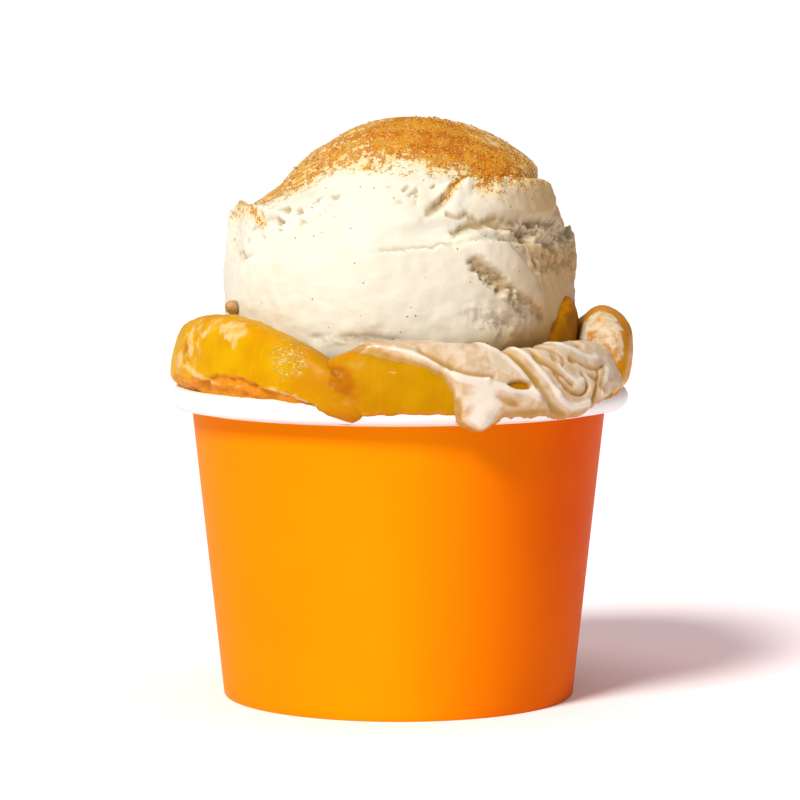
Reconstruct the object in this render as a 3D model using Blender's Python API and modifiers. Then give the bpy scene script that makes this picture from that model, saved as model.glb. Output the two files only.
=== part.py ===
"""Peach cobbler in a paper dessert cup, under a scoop of vanilla ice cream.

The cup stands on its folded foot, centred on the Z axis, with the shown side towards -Y.
Angles round the cup start at the front (-Y) and grow towards +X.
"""

import math
from collections import namedtuple

import bmesh
import bpy
import numpy as np
from mathutils import Matrix, Vector, noise
from mathutils.bvhtree import BVHTree

MM = 0.001
GAP = 0.35 * MM
SHARP = math.radians(50)

# Paper cup
CUP_HEIGHT = 65.0 * MM
FOOT_RADIUS = 36.7 * MM
NECK_RADIUS = 43.7 * MM
RIM_RADIUS = 48.0 * MM
RIM_ROLL = 2.3 * MM
RIM_MIDDLE = RIM_RADIUS - RIM_ROLL
RIM_HEIGHT = CUP_HEIGHT - RIM_ROLL
CURL = (math.radians(-62), math.radians(205))
CURL_STEPS = 7
PAPER = 0.5 * MM
FOLD_HEIGHT = 6.0 * MM
FOLD_DEPTH = 2.2 * MM
TURN_STEPS = 42

# Raised floor, glued by its skirt into the folded foot
FLOOR_HEIGHT = 7.5 * MM
FLOOR_INSET = 0.95 * MM
FLOOR_PAPER = 0.4 * MM
FLOOR_ROUND = 0.8 * MM
SKIRT_FOOT = 2.0 * MM

# Filling
FILLING_TOP = 60.5 * MM
FILLING_CROWN = 2.0 * MM
FILLING_EDGE = 1.5 * MM

# Scoop
SCOOP_CENTRE = 84.0 * MM
SCOOP_RADIUS = 36.4 * MM
SCOOP_TOP = 120.8 * MM
SCOOP_FOOT = 62.8 * MM
SCOOP_DETAIL = 5
ROUND_ABOVE = 2.0
ROUND_BELOW = 3.8
CAP_SHIFT = 3.8 * MM
CAP_FROM, CAP_TO = 101.0, 112.0

# Relief of the scoop, in mm and degrees. A ledge is a torn edge: the angle of its middle, half
# its length, its height and slope, how far its ends bow, its lift, how far that takes to fade,
# and the side that is raised (1 above, -1 below).
Ledge = namedtuple("Ledge", "middle half level slope bow lift fade side")
LEDGES = (
    Ledge(-75, 22, 101.9, 0.01, -1.0, 2.6, 3.0, -1),
    Ledge(62, 34, 106.2, 0.04, -0.3, 2.1, 5.0, -1),
    Ledge(10, 26, 94.4, 0.07, -1.5, 1.1, 8.0, -1),
    Ledge(-48, 18, 91.8, 0.00, -0.8, 0.8, 6.0, -1),
    Ledge(140, 40, 98.5, 0.05, -2.5, 1.9, 8.0, -1),
    Ledge(205, 38, 91.0, -0.06, 2.0, 1.5, 7.0, -1),
    Ledge(170, 30, 83.5, 0.04, -2.0, 1.3, 7.0, 1),
    Ledge(240, 26, 100.5, -0.04, -1.5, 1.6, 8.0, -1),
)
LEDGE_EDGE = 2.4
LEDGE_END = 8.0

# Lobes, hollows and torn patches are ovals: the angle and height of their middle, half their
# length and width, their tilt, how soft their edge is, and their lift or their roughness.
Oval = namedtuple("Oval", "middle level length width tilt soft size")
LOBES = (
    Oval(55, 103.0, 21.0, 3.4, 1, 0.40, 1.2),
    Oval(38, 89.3, 14.0, 4.6, -38, 0.40, 1.6),
    Oval(14, 98.4, 12.0, 2.8, 4, 0.80, -1.2),
    Oval(17, 104.0, 4.2, 1.6, 29, 0.90, -2.2),
    Oval(-84, 102.0, 6.0, 2.2, 4, 0.80, 2.6),
    Oval(128, 90.5, 15.0, 5.0, 24, 0.45, 1.2),
    Oval(222, 82.0, 16.0, 4.5, -18, 0.45, 1.2),
)
TORN = (
    Oval(68, 97.0, 22.0, 3.8, -4, 0.60, 2.4),
    Oval(33, 85.6, 13.0, 2.6, -38, 0.70, 2.2),
    Oval(80, 89.0, 13.0, 9.0, 0, 0.70, 1.7),
    Oval(30, 79.6, 10.0, 4.6, -18, 0.70, 0.8),
    Oval(-15, 76.5, 14.0, 2.0, 0, 0.80, 0.9),
    Oval(150, 94.5, 22.0, 4.0, 6, 0.60, 2.2),
    Oval(195, 87.5, 22.0, 3.5, -8, 0.60, 2.0),
    Oval(250, 92.0, 18.0, 5.0, 10, 0.70, 1.6),
)
SMOOTH_RELIEF = 0.25
CRUMB = 3.4 * MM
SWELL = 16.0 * MM
SWELL_RELIEF = 0.7

# Peach slices stand on the rim and lean on the scoop, skin side up, stone side down. Each has
# the steps of its cage, its start and end round the cup, the share of its length where it is
# fattest, how full and how blunt its ends are, the heights of its outer lower edge at its start,
# middle and end, how far out that edge is there, the lean of its outer face, the height of that
# face, the width and crown of its skin side, and the width and tilt of its stone side.
Slice = namedtuple(
    "Slice", "steps turn fat ends blunt hem reach lean depth thick crown stone tilt"
)
SLICES = {
    "peach_left": Slice(
        8, (-103, -8), 0.50, (0.22, 0.42), 1.6, (65.6, 67.0, 61.8), (48.3, 48.4, 49.3),
        13, 14.2, 11.0, 0.15, 8.0, 42
    ),
    "peach_front": Slice(
        6, (-21, 39), 0.45, (0.78, 0.30), 3.0, (62.4, 62.5, 62.0), (49.0, 49.2, 49.0),
        16, 13.8, 11.5, 0.15, 7.0, 16
    ),
    "peach_right": Slice(
        6, (19, 77), 0.45, (0.80, 0.50), 3.0, (62.8, 62.8, 65.0), (48.5, 48.6, 48.4),
        20, 12.4, 10.0, 0.15, 6.2, 24
    ),
    "peach_end": Slice(
        6, (71, 122), 0.14, (0.80, 0.35), 2.4, (64.8, 65.2, 63.5), (48.0, 48.3, 48.4),
        -3, 12.8, 12.2, 0.38, 6.5, 12
    ),
    "peach_chunk": Slice(
        3, (57, 88), 0.45, (0.55, 0.50), 2.2, (67.5, 68.0, 67.5), (37.3, 37.4, 37.2),
        -4, 15.5, 6.5, 0.15, 5.0, 0
    ),
    "peach_back_right": Slice(
        5, (117, 176), 0.50, (0.45, 0.30), 2.2, (62.8, 64.8, 62.4), (48.5, 48.6, 48.5),
        20, 14.6, 10.5, 0.15, 7.0, 26
    ),
    "peach_back": Slice(
        5, (167, 221), 0.45, (0.50, 0.40), 2.2, (65.0, 62.8, 62.6), (48.6, 48.6, 48.6),
        16, 13.8, 10.5, 0.15, 6.5, 18
    ),
    "peach_back_left": Slice(
        5, (211, 263), 0.50, (0.45, 0.40), 2.0, (62.8, 65.4, 64.0), (48.4, 48.5, 48.4),
        20, 14.2, 10.5, 0.15, 7.0, 30
    ),
}
CUTS_UP = 2
CUTS_THROUGH = 2
FACE_BULGE = 0.06
EDGE_CREASE = 0.25

# Where two slices meet, the first is pressed in by the others
YIELDS = {
    "peach_front": ("peach_left",),
    "peach_right": ("peach_front", "peach_end"),
    "peach_chunk": ("peach_right", "peach_end"),
    "peach_back_right": ("peach_end",),
    "peach_back": ("peach_back_right",),
    "peach_back_left": ("peach_back", "peach_left"),
}

# Melted cream lies over two slices and hangs over the rim in one drip. It is laid along rays
# from a ring inside them. Its edges are stops: an angle round the cup, and the direction of such
# a ray there, 0 outwards and 90 straight up. Degrees.
CREAM_ON = ("peach_front", "peach_right")
CREAM_ANGLES = (-2.0, 64.0)
CREAM_CORE = (40.0 * MM, 61.0 * MM)
CREAM_THICK = 1.3 * MM
CREAM_LOWER = (
    (-2, 66), (8, 56), (12, 34), (15, 2), (19, -9), (23, 4), (29, 13), (42, 13), (54, 26), (64, 44)
)
CREAM_UPPER = ((-2, 92), (10, 99), (30, 99), (64, 92))
CREAM_STEPS = (16, 6, 1)
CREAM_FAR = 50.0 * MM
AROUND_TURN = 1.2
AROUND_TILT = 0.07


def ring_point(angle, radius, height):
    """A point round the cup, with its angle in degrees."""
    turn = math.radians(angle)
    return Vector((radius * math.sin(turn), -radius * math.cos(turn), height))


def wall_radius(height):
    """Outer radius of the tapered side wall."""
    return FOOT_RADIUS + (NECK_RADIUS - FOOT_RADIUS) * height / CUP_HEIGHT


def material(name, colour, roughness):
    made = bpy.data.materials.new(name)
    made.use_nodes = True
    shader = made.node_tree.nodes["Principled BSDF"]
    shader.inputs["Base Color"].default_value = (*colour, 1.0)
    shader.inputs["Roughness"].default_value = roughness
    shader.inputs["Metallic"].default_value = 0.0
    made.diffuse_color = (*colour, 1.0)
    return made


def collection(name):
    made = bpy.data.collections.new(name)
    bpy.context.scene.collection.children.link(made)
    return made


def add_object(name, mesh, where, finish=None):
    obj = bpy.data.objects.new(name, mesh)
    where.objects.link(obj)
    if finish:
        mesh.materials.append(finish)
    mesh.shade_smooth()
    mesh.set_sharp_from_angle(angle=SHARP)
    return obj


def as_cutter(obj):
    obj.hide_render = True
    obj.display_type = "WIRE"
    return obj


def cut(obj, cutter):
    """Takes the cutter's shape out of an object."""
    made = obj.modifiers.new(cutter.name, "BOOLEAN")
    made.operation = "DIFFERENCE"
    made.solver = "EXACT"
    made.object = cutter


def turned(name, outline, where, finish=None, closed=False):
    """An outline of (radius, height) pairs turned about the Z axis."""
    mesh = bpy.data.meshes.new(name)
    points = [(radius, 0.0, height) for radius, height in outline]
    edges = [(i, i + 1) for i in range(len(points) - 1)]
    if closed:
        edges.append((len(points) - 1, 0))
    mesh.from_pydata(points, edges, [])
    obj = add_object(name, mesh, where, finish)
    screw = obj.modifiers.new("turn", "SCREW")
    screw.axis = "Z"
    screw.steps = screw.render_steps = TURN_STEPS
    screw.use_merge_vertices = True
    screw.merge_threshold = 0.01 * MM
    screw.use_smooth_shade = True
    return obj


def papered(obj, thickness):
    """Gives a sheet its thickness, on the side away from its normals."""
    shell = obj.modifiers.new("paper", "SOLIDIFY")
    shell.thickness = thickness
    shell.offset = -1.0
    return obj


def arc_points(middle, height, radius, first, last, steps):
    """Points along an arc, as (radius, height) pairs."""
    turns = [first + (last - first) * i / steps for i in range(steps + 1)]
    return [(middle + radius * math.cos(turn), height + radius * math.sin(turn)) for turn in turns]


def build_cup_wall(where, finish):
    """Side wall as one sheet: rim curl, wall, then the foot folded up inside.

    The paper's thickness goes outside the curl and inside the wall.
    """
    outline = arc_points(RIM_MIDDLE, RIM_HEIGHT, RIM_ROLL - PAPER, *CURL, CURL_STEPS)
    below_rim = RIM_HEIGHT - 3.0 * MM
    fold = FOOT_RADIUS - FOLD_DEPTH
    outline += [
        (wall_radius(below_rim), below_rim),
        (wall_radius(0.9 * MM), 0.9 * MM),
        (FOOT_RADIUS - PAPER, 0.0),
        (fold, 0.0),
        (fold, FOLD_HEIGHT),
    ]
    return papered(turned("cup_wall", outline, where, finish), PAPER)


def build_cup_floor(where, finish):
    """The raised floor disc with a skirt that sits in the folded foot."""
    edge = FOOT_RADIUS - FLOOR_INSET
    outline = [
        (0.0, FLOOR_HEIGHT),
        (edge - FLOOR_ROUND, FLOOR_HEIGHT),
        (edge, FLOOR_HEIGHT - FLOOR_ROUND),
        (edge, SKIRT_FOOT),
    ]
    return papered(turned("cup_floor", outline, where, finish), FLOOR_PAPER)


def build_filling(where, finish):
    """Peaches in syrup that fill the cup to just under the rim."""
    bottom = FLOOR_HEIGHT + GAP
    top_edge = wall_radius(FILLING_TOP) - PAPER - GAP
    bottom_edge = wall_radius(bottom) - PAPER - GAP
    outline = [
        (0.0, FILLING_TOP + FILLING_CROWN),
        (0.5 * top_edge, FILLING_TOP + 0.75 * FILLING_CROWN),
        (0.9 * top_edge, FILLING_TOP),
        (top_edge, FILLING_TOP - FILLING_EDGE),
        (bottom_edge, bottom + FILLING_EDGE),
        (bottom_edge - FILLING_EDGE, bottom),
        (0.0, bottom),
    ]
    return turned("peach_filling", outline, where, finish)


def grid_block(steps):
    """A cube from 0 to 1 cut into a grid, with the number of cells along each axis."""
    block = bmesh.new()
    bmesh.ops.create_cube(block, size=1.0, matrix=Matrix.Translation((0.5, 0.5, 0.5)))
    for axis, cells in enumerate(steps):
        normal = Vector((0.0, 0.0, 0.0))
        normal[axis] = 1.0
        for i in range(1, cells):
            every = block.verts[:] + block.edges[:] + block.faces[:]
            bmesh.ops.bisect_plane(block, geom=every, plane_co=normal * i / cells, plane_no=normal)
    return block


def object_of(block, name, where, finish):
    """The object of a bmesh, which is freed."""
    mesh = bpy.data.meshes.new(name)
    block.to_mesh(mesh)
    block.free()
    return add_object(name, mesh, where, finish)


def fullness(look, along):
    """How full a slice is along its length: 1 where it is fattest, less at its ends."""
    before = along < look.fat
    away = 1.0 - along / look.fat if before else (along - look.fat) / (1.0 - look.fat)
    least = look.ends[0] if before else look.ends[1]
    return least + (1.0 - least) * max(0.0, 1.0 - away ** look.blunt) ** (1.0 / look.blunt)


def along_three(values, along):
    """A value that runs smoothly through its start, middle and end."""
    first, middle, last = values
    at_first = (1.0 - along) * (1.0 - 2.0 * along)
    at_middle = 4.0 * along * (1.0 - along)
    at_last = along * (2.0 * along - 1.0)
    return first * at_first + middle * at_middle + last * at_last


def slice_point(look, along, up, through, grow=0.0):
    """A point of a slice, 0 to 1 along it, up from the stone side to the skin, and outwards."""
    full = fullness(look, along)
    lean, tilt = math.radians(look.lean), math.radians(look.tilt)
    rise = Vector((-math.sin(lean), math.cos(lean)))
    outwards = Vector((math.cos(lean), math.sin(lean)))
    depth = look.depth * full * MM
    foot = Vector((along_three(look.reach, along), along_three(look.hem, along))) * MM
    outer_top = foot + rise * depth
    inner_top = outer_top - outwards * look.thick * (0.35 + 0.65 * full) * MM
    inner_foot = foot - Vector((math.cos(tilt), math.sin(tilt))) * look.stone * full * MM
    outer = foot.lerp(outer_top, up)
    inner = inner_foot.lerp(inner_top, up)
    side = 2.0 * through - 1.0
    place = inner.lerp(outer, through)
    place += rise * look.crown * depth * (1.0 - side * side) * up ** 4
    place += outwards * FACE_BULGE * depth * side * math.sin(math.pi * up)
    place += (outwards * side + rise * (2.0 * up - 1.0)) * grow
    angle = look.turn[0] + (look.turn[1] - look.turn[0]) * along
    angle += math.degrees(grow / place.x) * (2.0 * along - 1.0)
    return ring_point(angle, place.x, place.y)


def build_slice(name, look, where, finish, grow=0.0):
    cage = grid_block((look.steps, CUTS_UP, CUTS_THROUGH))
    crease = cage.edges.layers.float.new("crease_edge")
    for edge in cage.edges:
        outer = all(vert.co.z > 0.99 and abs(vert.co.y - 0.5) > 0.49 for vert in edge.verts)
        edge[crease] = EDGE_CREASE if outer else 0.0
    for vert in cage.verts:
        vert.co = slice_point(look, *vert.co, grow=grow)
    obj = object_of(cage, name, where, finish)
    soft = obj.modifiers.new("soft", "SUBSURF")
    soft.levels = soft.render_levels = 1
    return obj


def build_rim_cutter(where):
    """The rim and the wall below it, grown by the gap, for what rests on them."""
    grown = RIM_ROLL + GAP
    low = RIM_HEIGHT - 3.0 * RIM_ROLL
    inside = wall_radius(low) - PAPER - GAP
    over = arc_points(RIM_MIDDLE, RIM_HEIGHT, grown, math.pi, 0.0, 8)
    outline = [(inside, low), (inside, RIM_HEIGHT), *over, (RIM_MIDDLE + grown, low)]
    return as_cutter(turned("rim_cutter", outline, where, closed=True))


def build_slices(where, cutters, finish):
    """The slices, each cut by the rim and by those that press on it, and their grown shapes."""
    rim = build_rim_cutter(cutters)
    slices, grown = {}, {}
    for name, look in SLICES.items():
        slices[name] = build_slice(name, look, where, finish)
        grown[name] = as_cutter(build_slice(name + "_cutter", look, cutters, None, GAP))
        cut(slices[name], rim)
    for name, others in YIELDS.items():
        for other in others:
            cut(slices[name], grown[other])
    return slices, grown


def edge_at(stops, angle):
    """A value that eases from stop to stop round the cup."""
    for (before, low), (after, high) in zip(stops, stops[1:]):
        if angle <= after:
            share = max(0.0, (angle - before) / (after - before))
            return low + (high - low) * share * share * (3.0 - 2.0 * share)
    return stops[-1][1]


def surface_reach(trees, angle, tilt):
    """How far from the cream's inner ring the surface under it is, at an angle and a tilt."""
    radius, height = CREAM_CORE
    core = ring_point(angle, radius, height)
    ray = ring_point(angle, math.cos(tilt), math.sin(tilt))
    hits = [tree.ray_cast(core + ray * CREAM_FAR, -ray, CREAM_FAR) for tree in trees]
    reach = max([CREAM_FAR - hit[3] for hit in hits if hit[3] is not None] or [0.0])
    past_rim = (RIM_RADIUS - radius) / math.cos(tilt)
    below_rim = height + past_rim * math.sin(tilt) < RIM_HEIGHT
    return max(reach, past_rim) if below_rim else reach


def build_cream(name, under, where, finish, grow=0.0):
    """Melted cream as a sheet with a drip, laid over what is under it."""
    graph = bpy.context.evaluated_depsgraph_get()
    trees = [BVHTree.FromObject(obj, graph) for obj in under]
    first, last = CREAM_ANGLES
    sheet = grid_block(CREAM_STEPS)
    for vert in sheet.verts:
        along, up, through = vert.co
        angle = first + (last - first) * along
        low, high = edge_at(CREAM_LOWER, angle), edge_at(CREAM_UPPER, angle)
        tilt = math.radians(low + (high - low) * up)
        turns = (angle - AROUND_TURN, angle, angle + AROUND_TURN)
        tilts = (tilt - AROUND_TILT, tilt, tilt + AROUND_TILT)
        reach = max(surface_reach(trees, a, b) for a in turns for b in tilts) + GAP
        inside = min(1.0, 4.0 * min(along, 1.0 - along), 5.0 * min(up, 1.0 - up))
        thick = CREAM_THICK * (0.5 + 0.5 * inside)
        reach += thick + grow if through > 0.5 else -grow
        radius = CREAM_CORE[0] + reach * math.cos(tilt)
        height = CREAM_CORE[1] + reach * math.sin(tilt)
        vert.co = ring_point(angle, radius, height)
    return object_of(sheet, name, where, finish)


def smooth(low, high, value):
    """Eased step from 0 to 1."""
    t = np.clip((value - low) / (high - low), 0.0, 1.0)
    return t * t * (3.0 - 2.0 * t)


def arc_from(angle, middle):
    """Signed arc in mm on the scoop between an angle and a feature's middle, both in degrees."""
    return np.radians((angle - middle + 180.0) % 360.0 - 180.0) * SCOOP_RADIUS / MM


def ledge_lift(angle, height, ledge):
    """Lift in mm of one torn edge: raised on one side of a line, and fading away from it."""
    arc = arc_from(angle, ledge.middle)
    line = ledge.level + ledge.slope * arc + ledge.bow * (arc / ledge.half) ** 2
    away = ledge.side * (height - line)
    at_ends = smooth(0.0, LEDGE_END, ledge.half - np.abs(arc))
    step = smooth(-0.5 * LEDGE_EDGE, 0.5 * LEDGE_EDGE, away)
    return ledge.lift * at_ends * step * np.exp(-np.maximum(away, 0.0) / ledge.fade)


def oval_share(angle, height, oval):
    """How far inside an oval a point is: 1 in the middle, 0 at its edge and outside."""
    arc = arc_from(angle, oval.middle)
    rise = height - oval.level
    turn = math.radians(oval.tilt)
    along = (arc * math.cos(turn) + rise * math.sin(turn)) / oval.length
    across = (rise * math.cos(turn) - arc * math.sin(turn)) / oval.width
    return 1.0 - smooth(1.0 - oval.soft, 1.0, np.hypot(along, across))


def scoop_surface(directions):
    """Points of the scoop's surface for unit directions from its centre."""
    n = directions / np.linalg.norm(directions, axis=1)[:, None]
    above = n[:, 2] > 0.0
    across = np.hypot(n[:, 0], n[:, 1]) / SCOOP_RADIUS
    rise = np.abs(n[:, 2]) / np.where(above, SCOOP_TOP - SCOOP_CENTRE, SCOOP_CENTRE - SCOOP_FOOT)
    power = np.where(above, ROUND_ABOVE, ROUND_BELOW)
    points = n * ((across ** power + rise ** power) ** (-1.0 / power))[:, None]
    angle = np.degrees(np.arctan2(n[:, 0], -n[:, 1]))
    height = (points[:, 2] + SCOOP_CENTRE) / MM
    crumbs = np.array([noise.turbulence(Vector(p) / CRUMB, 2, False) for p in points]) - 0.5
    swell = np.array([noise.noise(Vector(p) / SWELL) for p in points])
    rough = SMOOTH_RELIEF + sum(oval.size * oval_share(angle, height, oval) for oval in TORN)
    lift = rough * crumbs + SWELL_RELIEF * swell
    lift += sum(ledge_lift(angle, height, ledge) for ledge in LEDGES)
    lift += sum(oval.size * oval_share(angle, height, oval) for oval in LOBES)
    points += n * (lift * MM)[:, None]
    points[:, 0] += CAP_SHIFT * smooth(CAP_FROM, CAP_TO, height)
    points[:, 2] += SCOOP_CENTRE
    return points


def build_scoop(where, finish):
    ball = bmesh.new()
    bmesh.ops.create_icosphere(ball, subdivisions=SCOOP_DETAIL, radius=1.0)
    surface = scoop_surface(np.array([vert.co for vert in ball.verts]))
    for vert, place in zip(ball.verts, surface):
        vert.co = place
    return object_of(ball, "vanilla_scoop", where, finish)


def build():
    for obj in list(bpy.data.objects):
        bpy.data.objects.remove(obj)
    parts = collection("peach_cobbler_cup")
    cutters = collection("cutters")
    printed = material("printed_paper", (0.97, 0.33, 0.01), 0.45)
    board = material("white_board", (0.90, 0.89, 0.86), 0.6)
    peach = material("peach", (0.79, 0.38, 0.01), 0.2)
    syrup = material("peach_filling", (0.62, 0.24, 0.01), 0.2)
    vanilla = material("vanilla", (0.93, 0.88, 0.70), 0.5)

    wall = build_cup_wall(parts, printed)
    build_cup_floor(parts, board)
    filling = build_filling(parts, syrup)
    slices, grown = build_slices(parts, cutters, peach)
    under_cream = [wall] + [slices[name] for name in CREAM_ON]
    cream = build_cream("melted_cream", under_cream, parts, vanilla)
    grown_cream = as_cutter(build_cream("cream_cutter", under_cream, cutters, None, GAP))
    scoop = build_scoop(parts, vanilla)
    for name in CREAM_ON:
        cut(cream, grown[name])
    for cutter in grown.values():
        cut(scoop, cutter)
        cut(filling, cutter)
    cut(scoop, grown_cream)


build()
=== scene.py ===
"""The looks of a peach cobbler in its paper cup, under a scoop of vanilla ice cream.

Angles round the cup are in degrees, from the front (-Y) towards +X. Sizes named with MM are in
metres, and the numbers in the tables of features are in millimetres and degrees.
"""

import math
from collections import namedtuple
from contextlib import contextmanager

import bmesh
import bpy
import numpy as np
from mathutils import Matrix, Vector, noise
from mathutils.bvhtree import BVHTree


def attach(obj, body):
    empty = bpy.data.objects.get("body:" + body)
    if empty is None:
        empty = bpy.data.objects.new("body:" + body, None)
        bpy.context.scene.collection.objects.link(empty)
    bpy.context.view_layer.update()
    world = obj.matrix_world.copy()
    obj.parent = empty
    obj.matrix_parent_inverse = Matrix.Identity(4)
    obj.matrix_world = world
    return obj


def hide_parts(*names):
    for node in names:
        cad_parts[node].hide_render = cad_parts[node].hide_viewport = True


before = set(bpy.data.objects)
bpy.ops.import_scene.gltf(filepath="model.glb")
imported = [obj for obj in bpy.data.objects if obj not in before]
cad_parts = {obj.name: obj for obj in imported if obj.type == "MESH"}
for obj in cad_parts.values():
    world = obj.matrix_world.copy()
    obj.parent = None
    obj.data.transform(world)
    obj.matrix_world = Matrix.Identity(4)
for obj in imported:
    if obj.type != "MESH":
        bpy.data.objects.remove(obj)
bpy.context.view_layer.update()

MM = 0.001

# For the grains, and for the warp of the lumps, whose noise differs from run to run without it
SEED = 7

# Lumps: how far and how finely their cells are warped, and how steep and round they are
WARP, WARP_SCALE = 0.35, 1.7
LUMP_STEEP, LUMP_ROUND = 1.6, 0.75

# Camera, at the photo's viewing angle
CAMERA_PLACE = (0.0003, -0.70, 0.121)
CAMERA_PITCH = math.radians(4.85)
CAMERA_LENS = 150.9
CAMERA_SENSOR = 36.0

# Light
KEY_DIRECTION = (0.42, 0.61, -0.72)
KEY_STRENGTH = 3.3
KEY_SIZE = math.radians(16)
KEY_TINT = (1.0, 0.985, 0.96)
FILL_STRENGTH = 0.34
BACKDROP_STRENGTH = 1.05
FLOOR_SIZE = 6.0
# The floor's glow is painted light: it lifts the floor to white, shows pink in the floor's shadow as
# painted bounce light from the cup, and is weaker near the cup's foot as painted contact shade
FLOOR_GLOW = 0.24
GLOW_TINT = (1.0, 0.52, 0.55)
GLOW_BY_FOOT = 0.04
GLOW_REACH = (36.0 * MM, 82.0 * MM)

# Paper cup
CUP_HEIGHT = 65.0 * MM
FOOT_RADIUS = 36.7 * MM
NECK_RADIUS = 43.7 * MM
RIM_RADIUS = 48.0 * MM
RIM_ROLL = 2.3 * MM
RIM_MIDDLE = RIM_RADIUS - RIM_ROLL
RIM_HEIGHT = CUP_HEIGHT - RIM_ROLL
PAPER = 0.5 * MM
FOLD_HEIGHT = 6.0 * MM
FOLD_DEPTH = 2.2 * MM
FOOT_ROUND = 0.35 * MM
CURL_INSIDE, CURL_OUTSIDE, CURL_END = 205, -62, 190
PRINT_BELOW_RIM = 3.2 * MM
CUP_COLUMNS = 360
SEAM_ANGLE = 176.0
SEAM_STEP = 0.32 * MM
SEAM_FADE = 24.0
FLOOR_HEIGHT = 7.5 * MM
FLOOR_INSET = 0.95 * MM
FLOOR_PAPER = 0.4 * MM
FLOOR_ROUND = 0.8 * MM
SKIRT_FOOT = 2.0 * MM
BASE_COLUMNS = 180

# Filling
FILLING_TOP = 60.5 * MM
SYRUP_LEVEL = 60.3 * MM
LUMP = 13.0 * MM
FRUIT_RISE = 3.4 * MM
LUMP_RISE = 0.5 * MM
FILLING_GAP = 0.1 * MM
FILLING_COLUMNS = 220

# Scoop
SCOOP_CENTRE = 84.0 * MM
SCOOP_RADIUS = 36.4 * MM
SCOOP_TOP = 120.8 * MM
SCOOP_FOOT = 62.8 * MM
SCOOP_ROWS = 238
SCOOP_LOWEST = math.radians(142)
TORN_FROM, TORN_TO = 8.0, 104.0
TORN_STEP = 0.6
LEFT_FROM = -105.0
LEFT_STEP = 0.95
BACK_STEP = 1.25
ROUND_ABOVE = 2.0
ROUND_BELOW = 3.8
CAP_SHIFT = 3.8 * MM
CAP_FROM, CAP_TO = 103.1, 109.1
CAP_LEAN = 2.1

# A ledge is a torn edge of the scoop: the angle of its middle, half its length, its height and
# slope, how far its ends bow, its lift, how far that takes to fade, and its raised side.
Ledge = namedtuple("Ledge", "middle half level slope bow lift fade side")
LEDGES = [Ledge(*row) for row in (
    (-75, 22, 101.6, 0.01, -1, 1.9, 3.4, -1),
    (62, 34, 105.9, -0.035, -0.3, 2.4, 6.5, -1),
    (10, 26, 94.4, 0.07, -1.5, 1.1, 8, -1),
    (-48, 18, 91.8, 0.05, -0.8, 0.35, 6, -1),
    (140, 40, 98.5, 0.05, -2.5, 1.9, 8, -1),
    (205, 38, 91, -0.06, 2, 1.5, 7, -1),
    (170, 30, 83.5, 0.04, -2, 1.3, 7, 1),
    (240, 26, 100.5, -0.04, -1.5, 1.6, 8, -1),
)]
LEDGE_EDGE = 1.0
LEDGE_END = 8.0
LEDGE_JAG = 0.9
OVERHANG = 0.55

# Lobes, hollows and torn patches of the scoop are ovals: the angle and height of their middle,
# half their length and width, their tilt, how soft their edge is, and their lift or roughness.
Oval = namedtuple("Oval", "middle level length width tilt soft size")
LOBES = [Oval(*row) for row in (
    (55, 103, 21, 3.4, 1, 0.4, 1.2),
    (38, 89.3, 14, 4.6, -38, 0.4, 1.6),
    (14, 98.4, 12, 2.8, 4, 0.8, -1.2),
    (17, 104, 4.2, 1.6, 29, 0.9, -1),
    (-84, 101.2, 6, 2.2, 4, 0.8, 0.6),
    (128, 90.5, 15, 5, 24, 0.45, 1.2),
    (222, 82, 16, 4.5, -18, 0.45, 1.2),
)]
TORN = [Oval(*row) for row in (
    (68, 97, 22, 3.8, -4, 0.6, 2.4),
    (35, 86.2, 13, 2.4, -38, 0.6, 2.4),
    (32, 79.6, 11, 4.2, -18, 0.8, 0.55),
    (-15, 76.5, 14, 2, 0, 0.8, 0.9),
    (150, 94.5, 22, 4, 6, 0.6, 2.2),
    (195, 87.5, 22, 3.5, -8, 0.6, 2),
    (250, 92, 18, 5, 10, 0.7, 1.6),
)]
PITTED = [Oval(*row) for row in (
    (-45, 101, 20, 6, 20, 0.8, 0.9),
    (-68, 94.5, 9, 5, 0, 0.8, 0.9),
    (5, 106, 16, 4, 0, 0.8, 0.6),
    (225, 105, 26, 5, 0, 0.8, 0.7),
)]
FINE_TORN = [Oval(*row) for row in (
    (78, 110.5, 11, 4.5, 0, 0.8, 1.5),
    (84, 92.4, 10.5, 4.6, 32, 0.9, 1.9),
    (94, 86, 12, 3.4, -24, 0.9, 1.5),
    (63, 92.6, 13, 5.2, -8, 0.9, 2.2),
    (42, 96.4, 11, 3, -5, 0.9, 1.7),
    (34, 80.4, 13, 4.6, -16, 0.9, 0.6),
    (-78, 96, 8, 7, 0, 0.8, 0.8),
)]
SMOOTH_RELIEF = 0.25
CRUMB = 3.4 * MM
TORN_SWELL = 0.5
LUMP_SIZE = 1.8 * MM
LUMP_SHARE = 0.42
FLAKE = 1.0 * MM
FLAKE_SHARE = 0.26
SWELL = 16.0 * MM
SWELL_RELIEF = 0.7
TORN_MOST = 2.6
LUMP_STRETCH = (1.0, 1.0, 0.8)
FLAKE_STRETCH = (1.0, 1.0, 0.7)
PIT_SIZE = 1.9 * MM
PIT_EDGE = (0.22, 0.5)
PIT_DEPTH = 1.3
DRAG_SIZE = 1.1 * MM
DRAG_STRETCH = (0.5, 0.5, 1.4)
DRAG_RELIEF = 0.05

# Where the scoop has painted shade on the side away from the key light, where its foot has painted
# shade and a syrup stain, and where the gap above the slices has painted shade: angles and heights
SHADED_SIDE = ((15.0, 65.0), (115.0, 160.0))
FOOT_SIDE = ((5.0, 35.0), (100.0, 130.0))
FOOT_SHADE_AND_STAIN_HEIGHTS = (81.0, 74.0)
GAP_SHADE_SIDE = ((22.0, 42.0), (100.0, 130.0))
GAP_SHADE_HEIGHTS = (79.0, 74.5)

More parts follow.
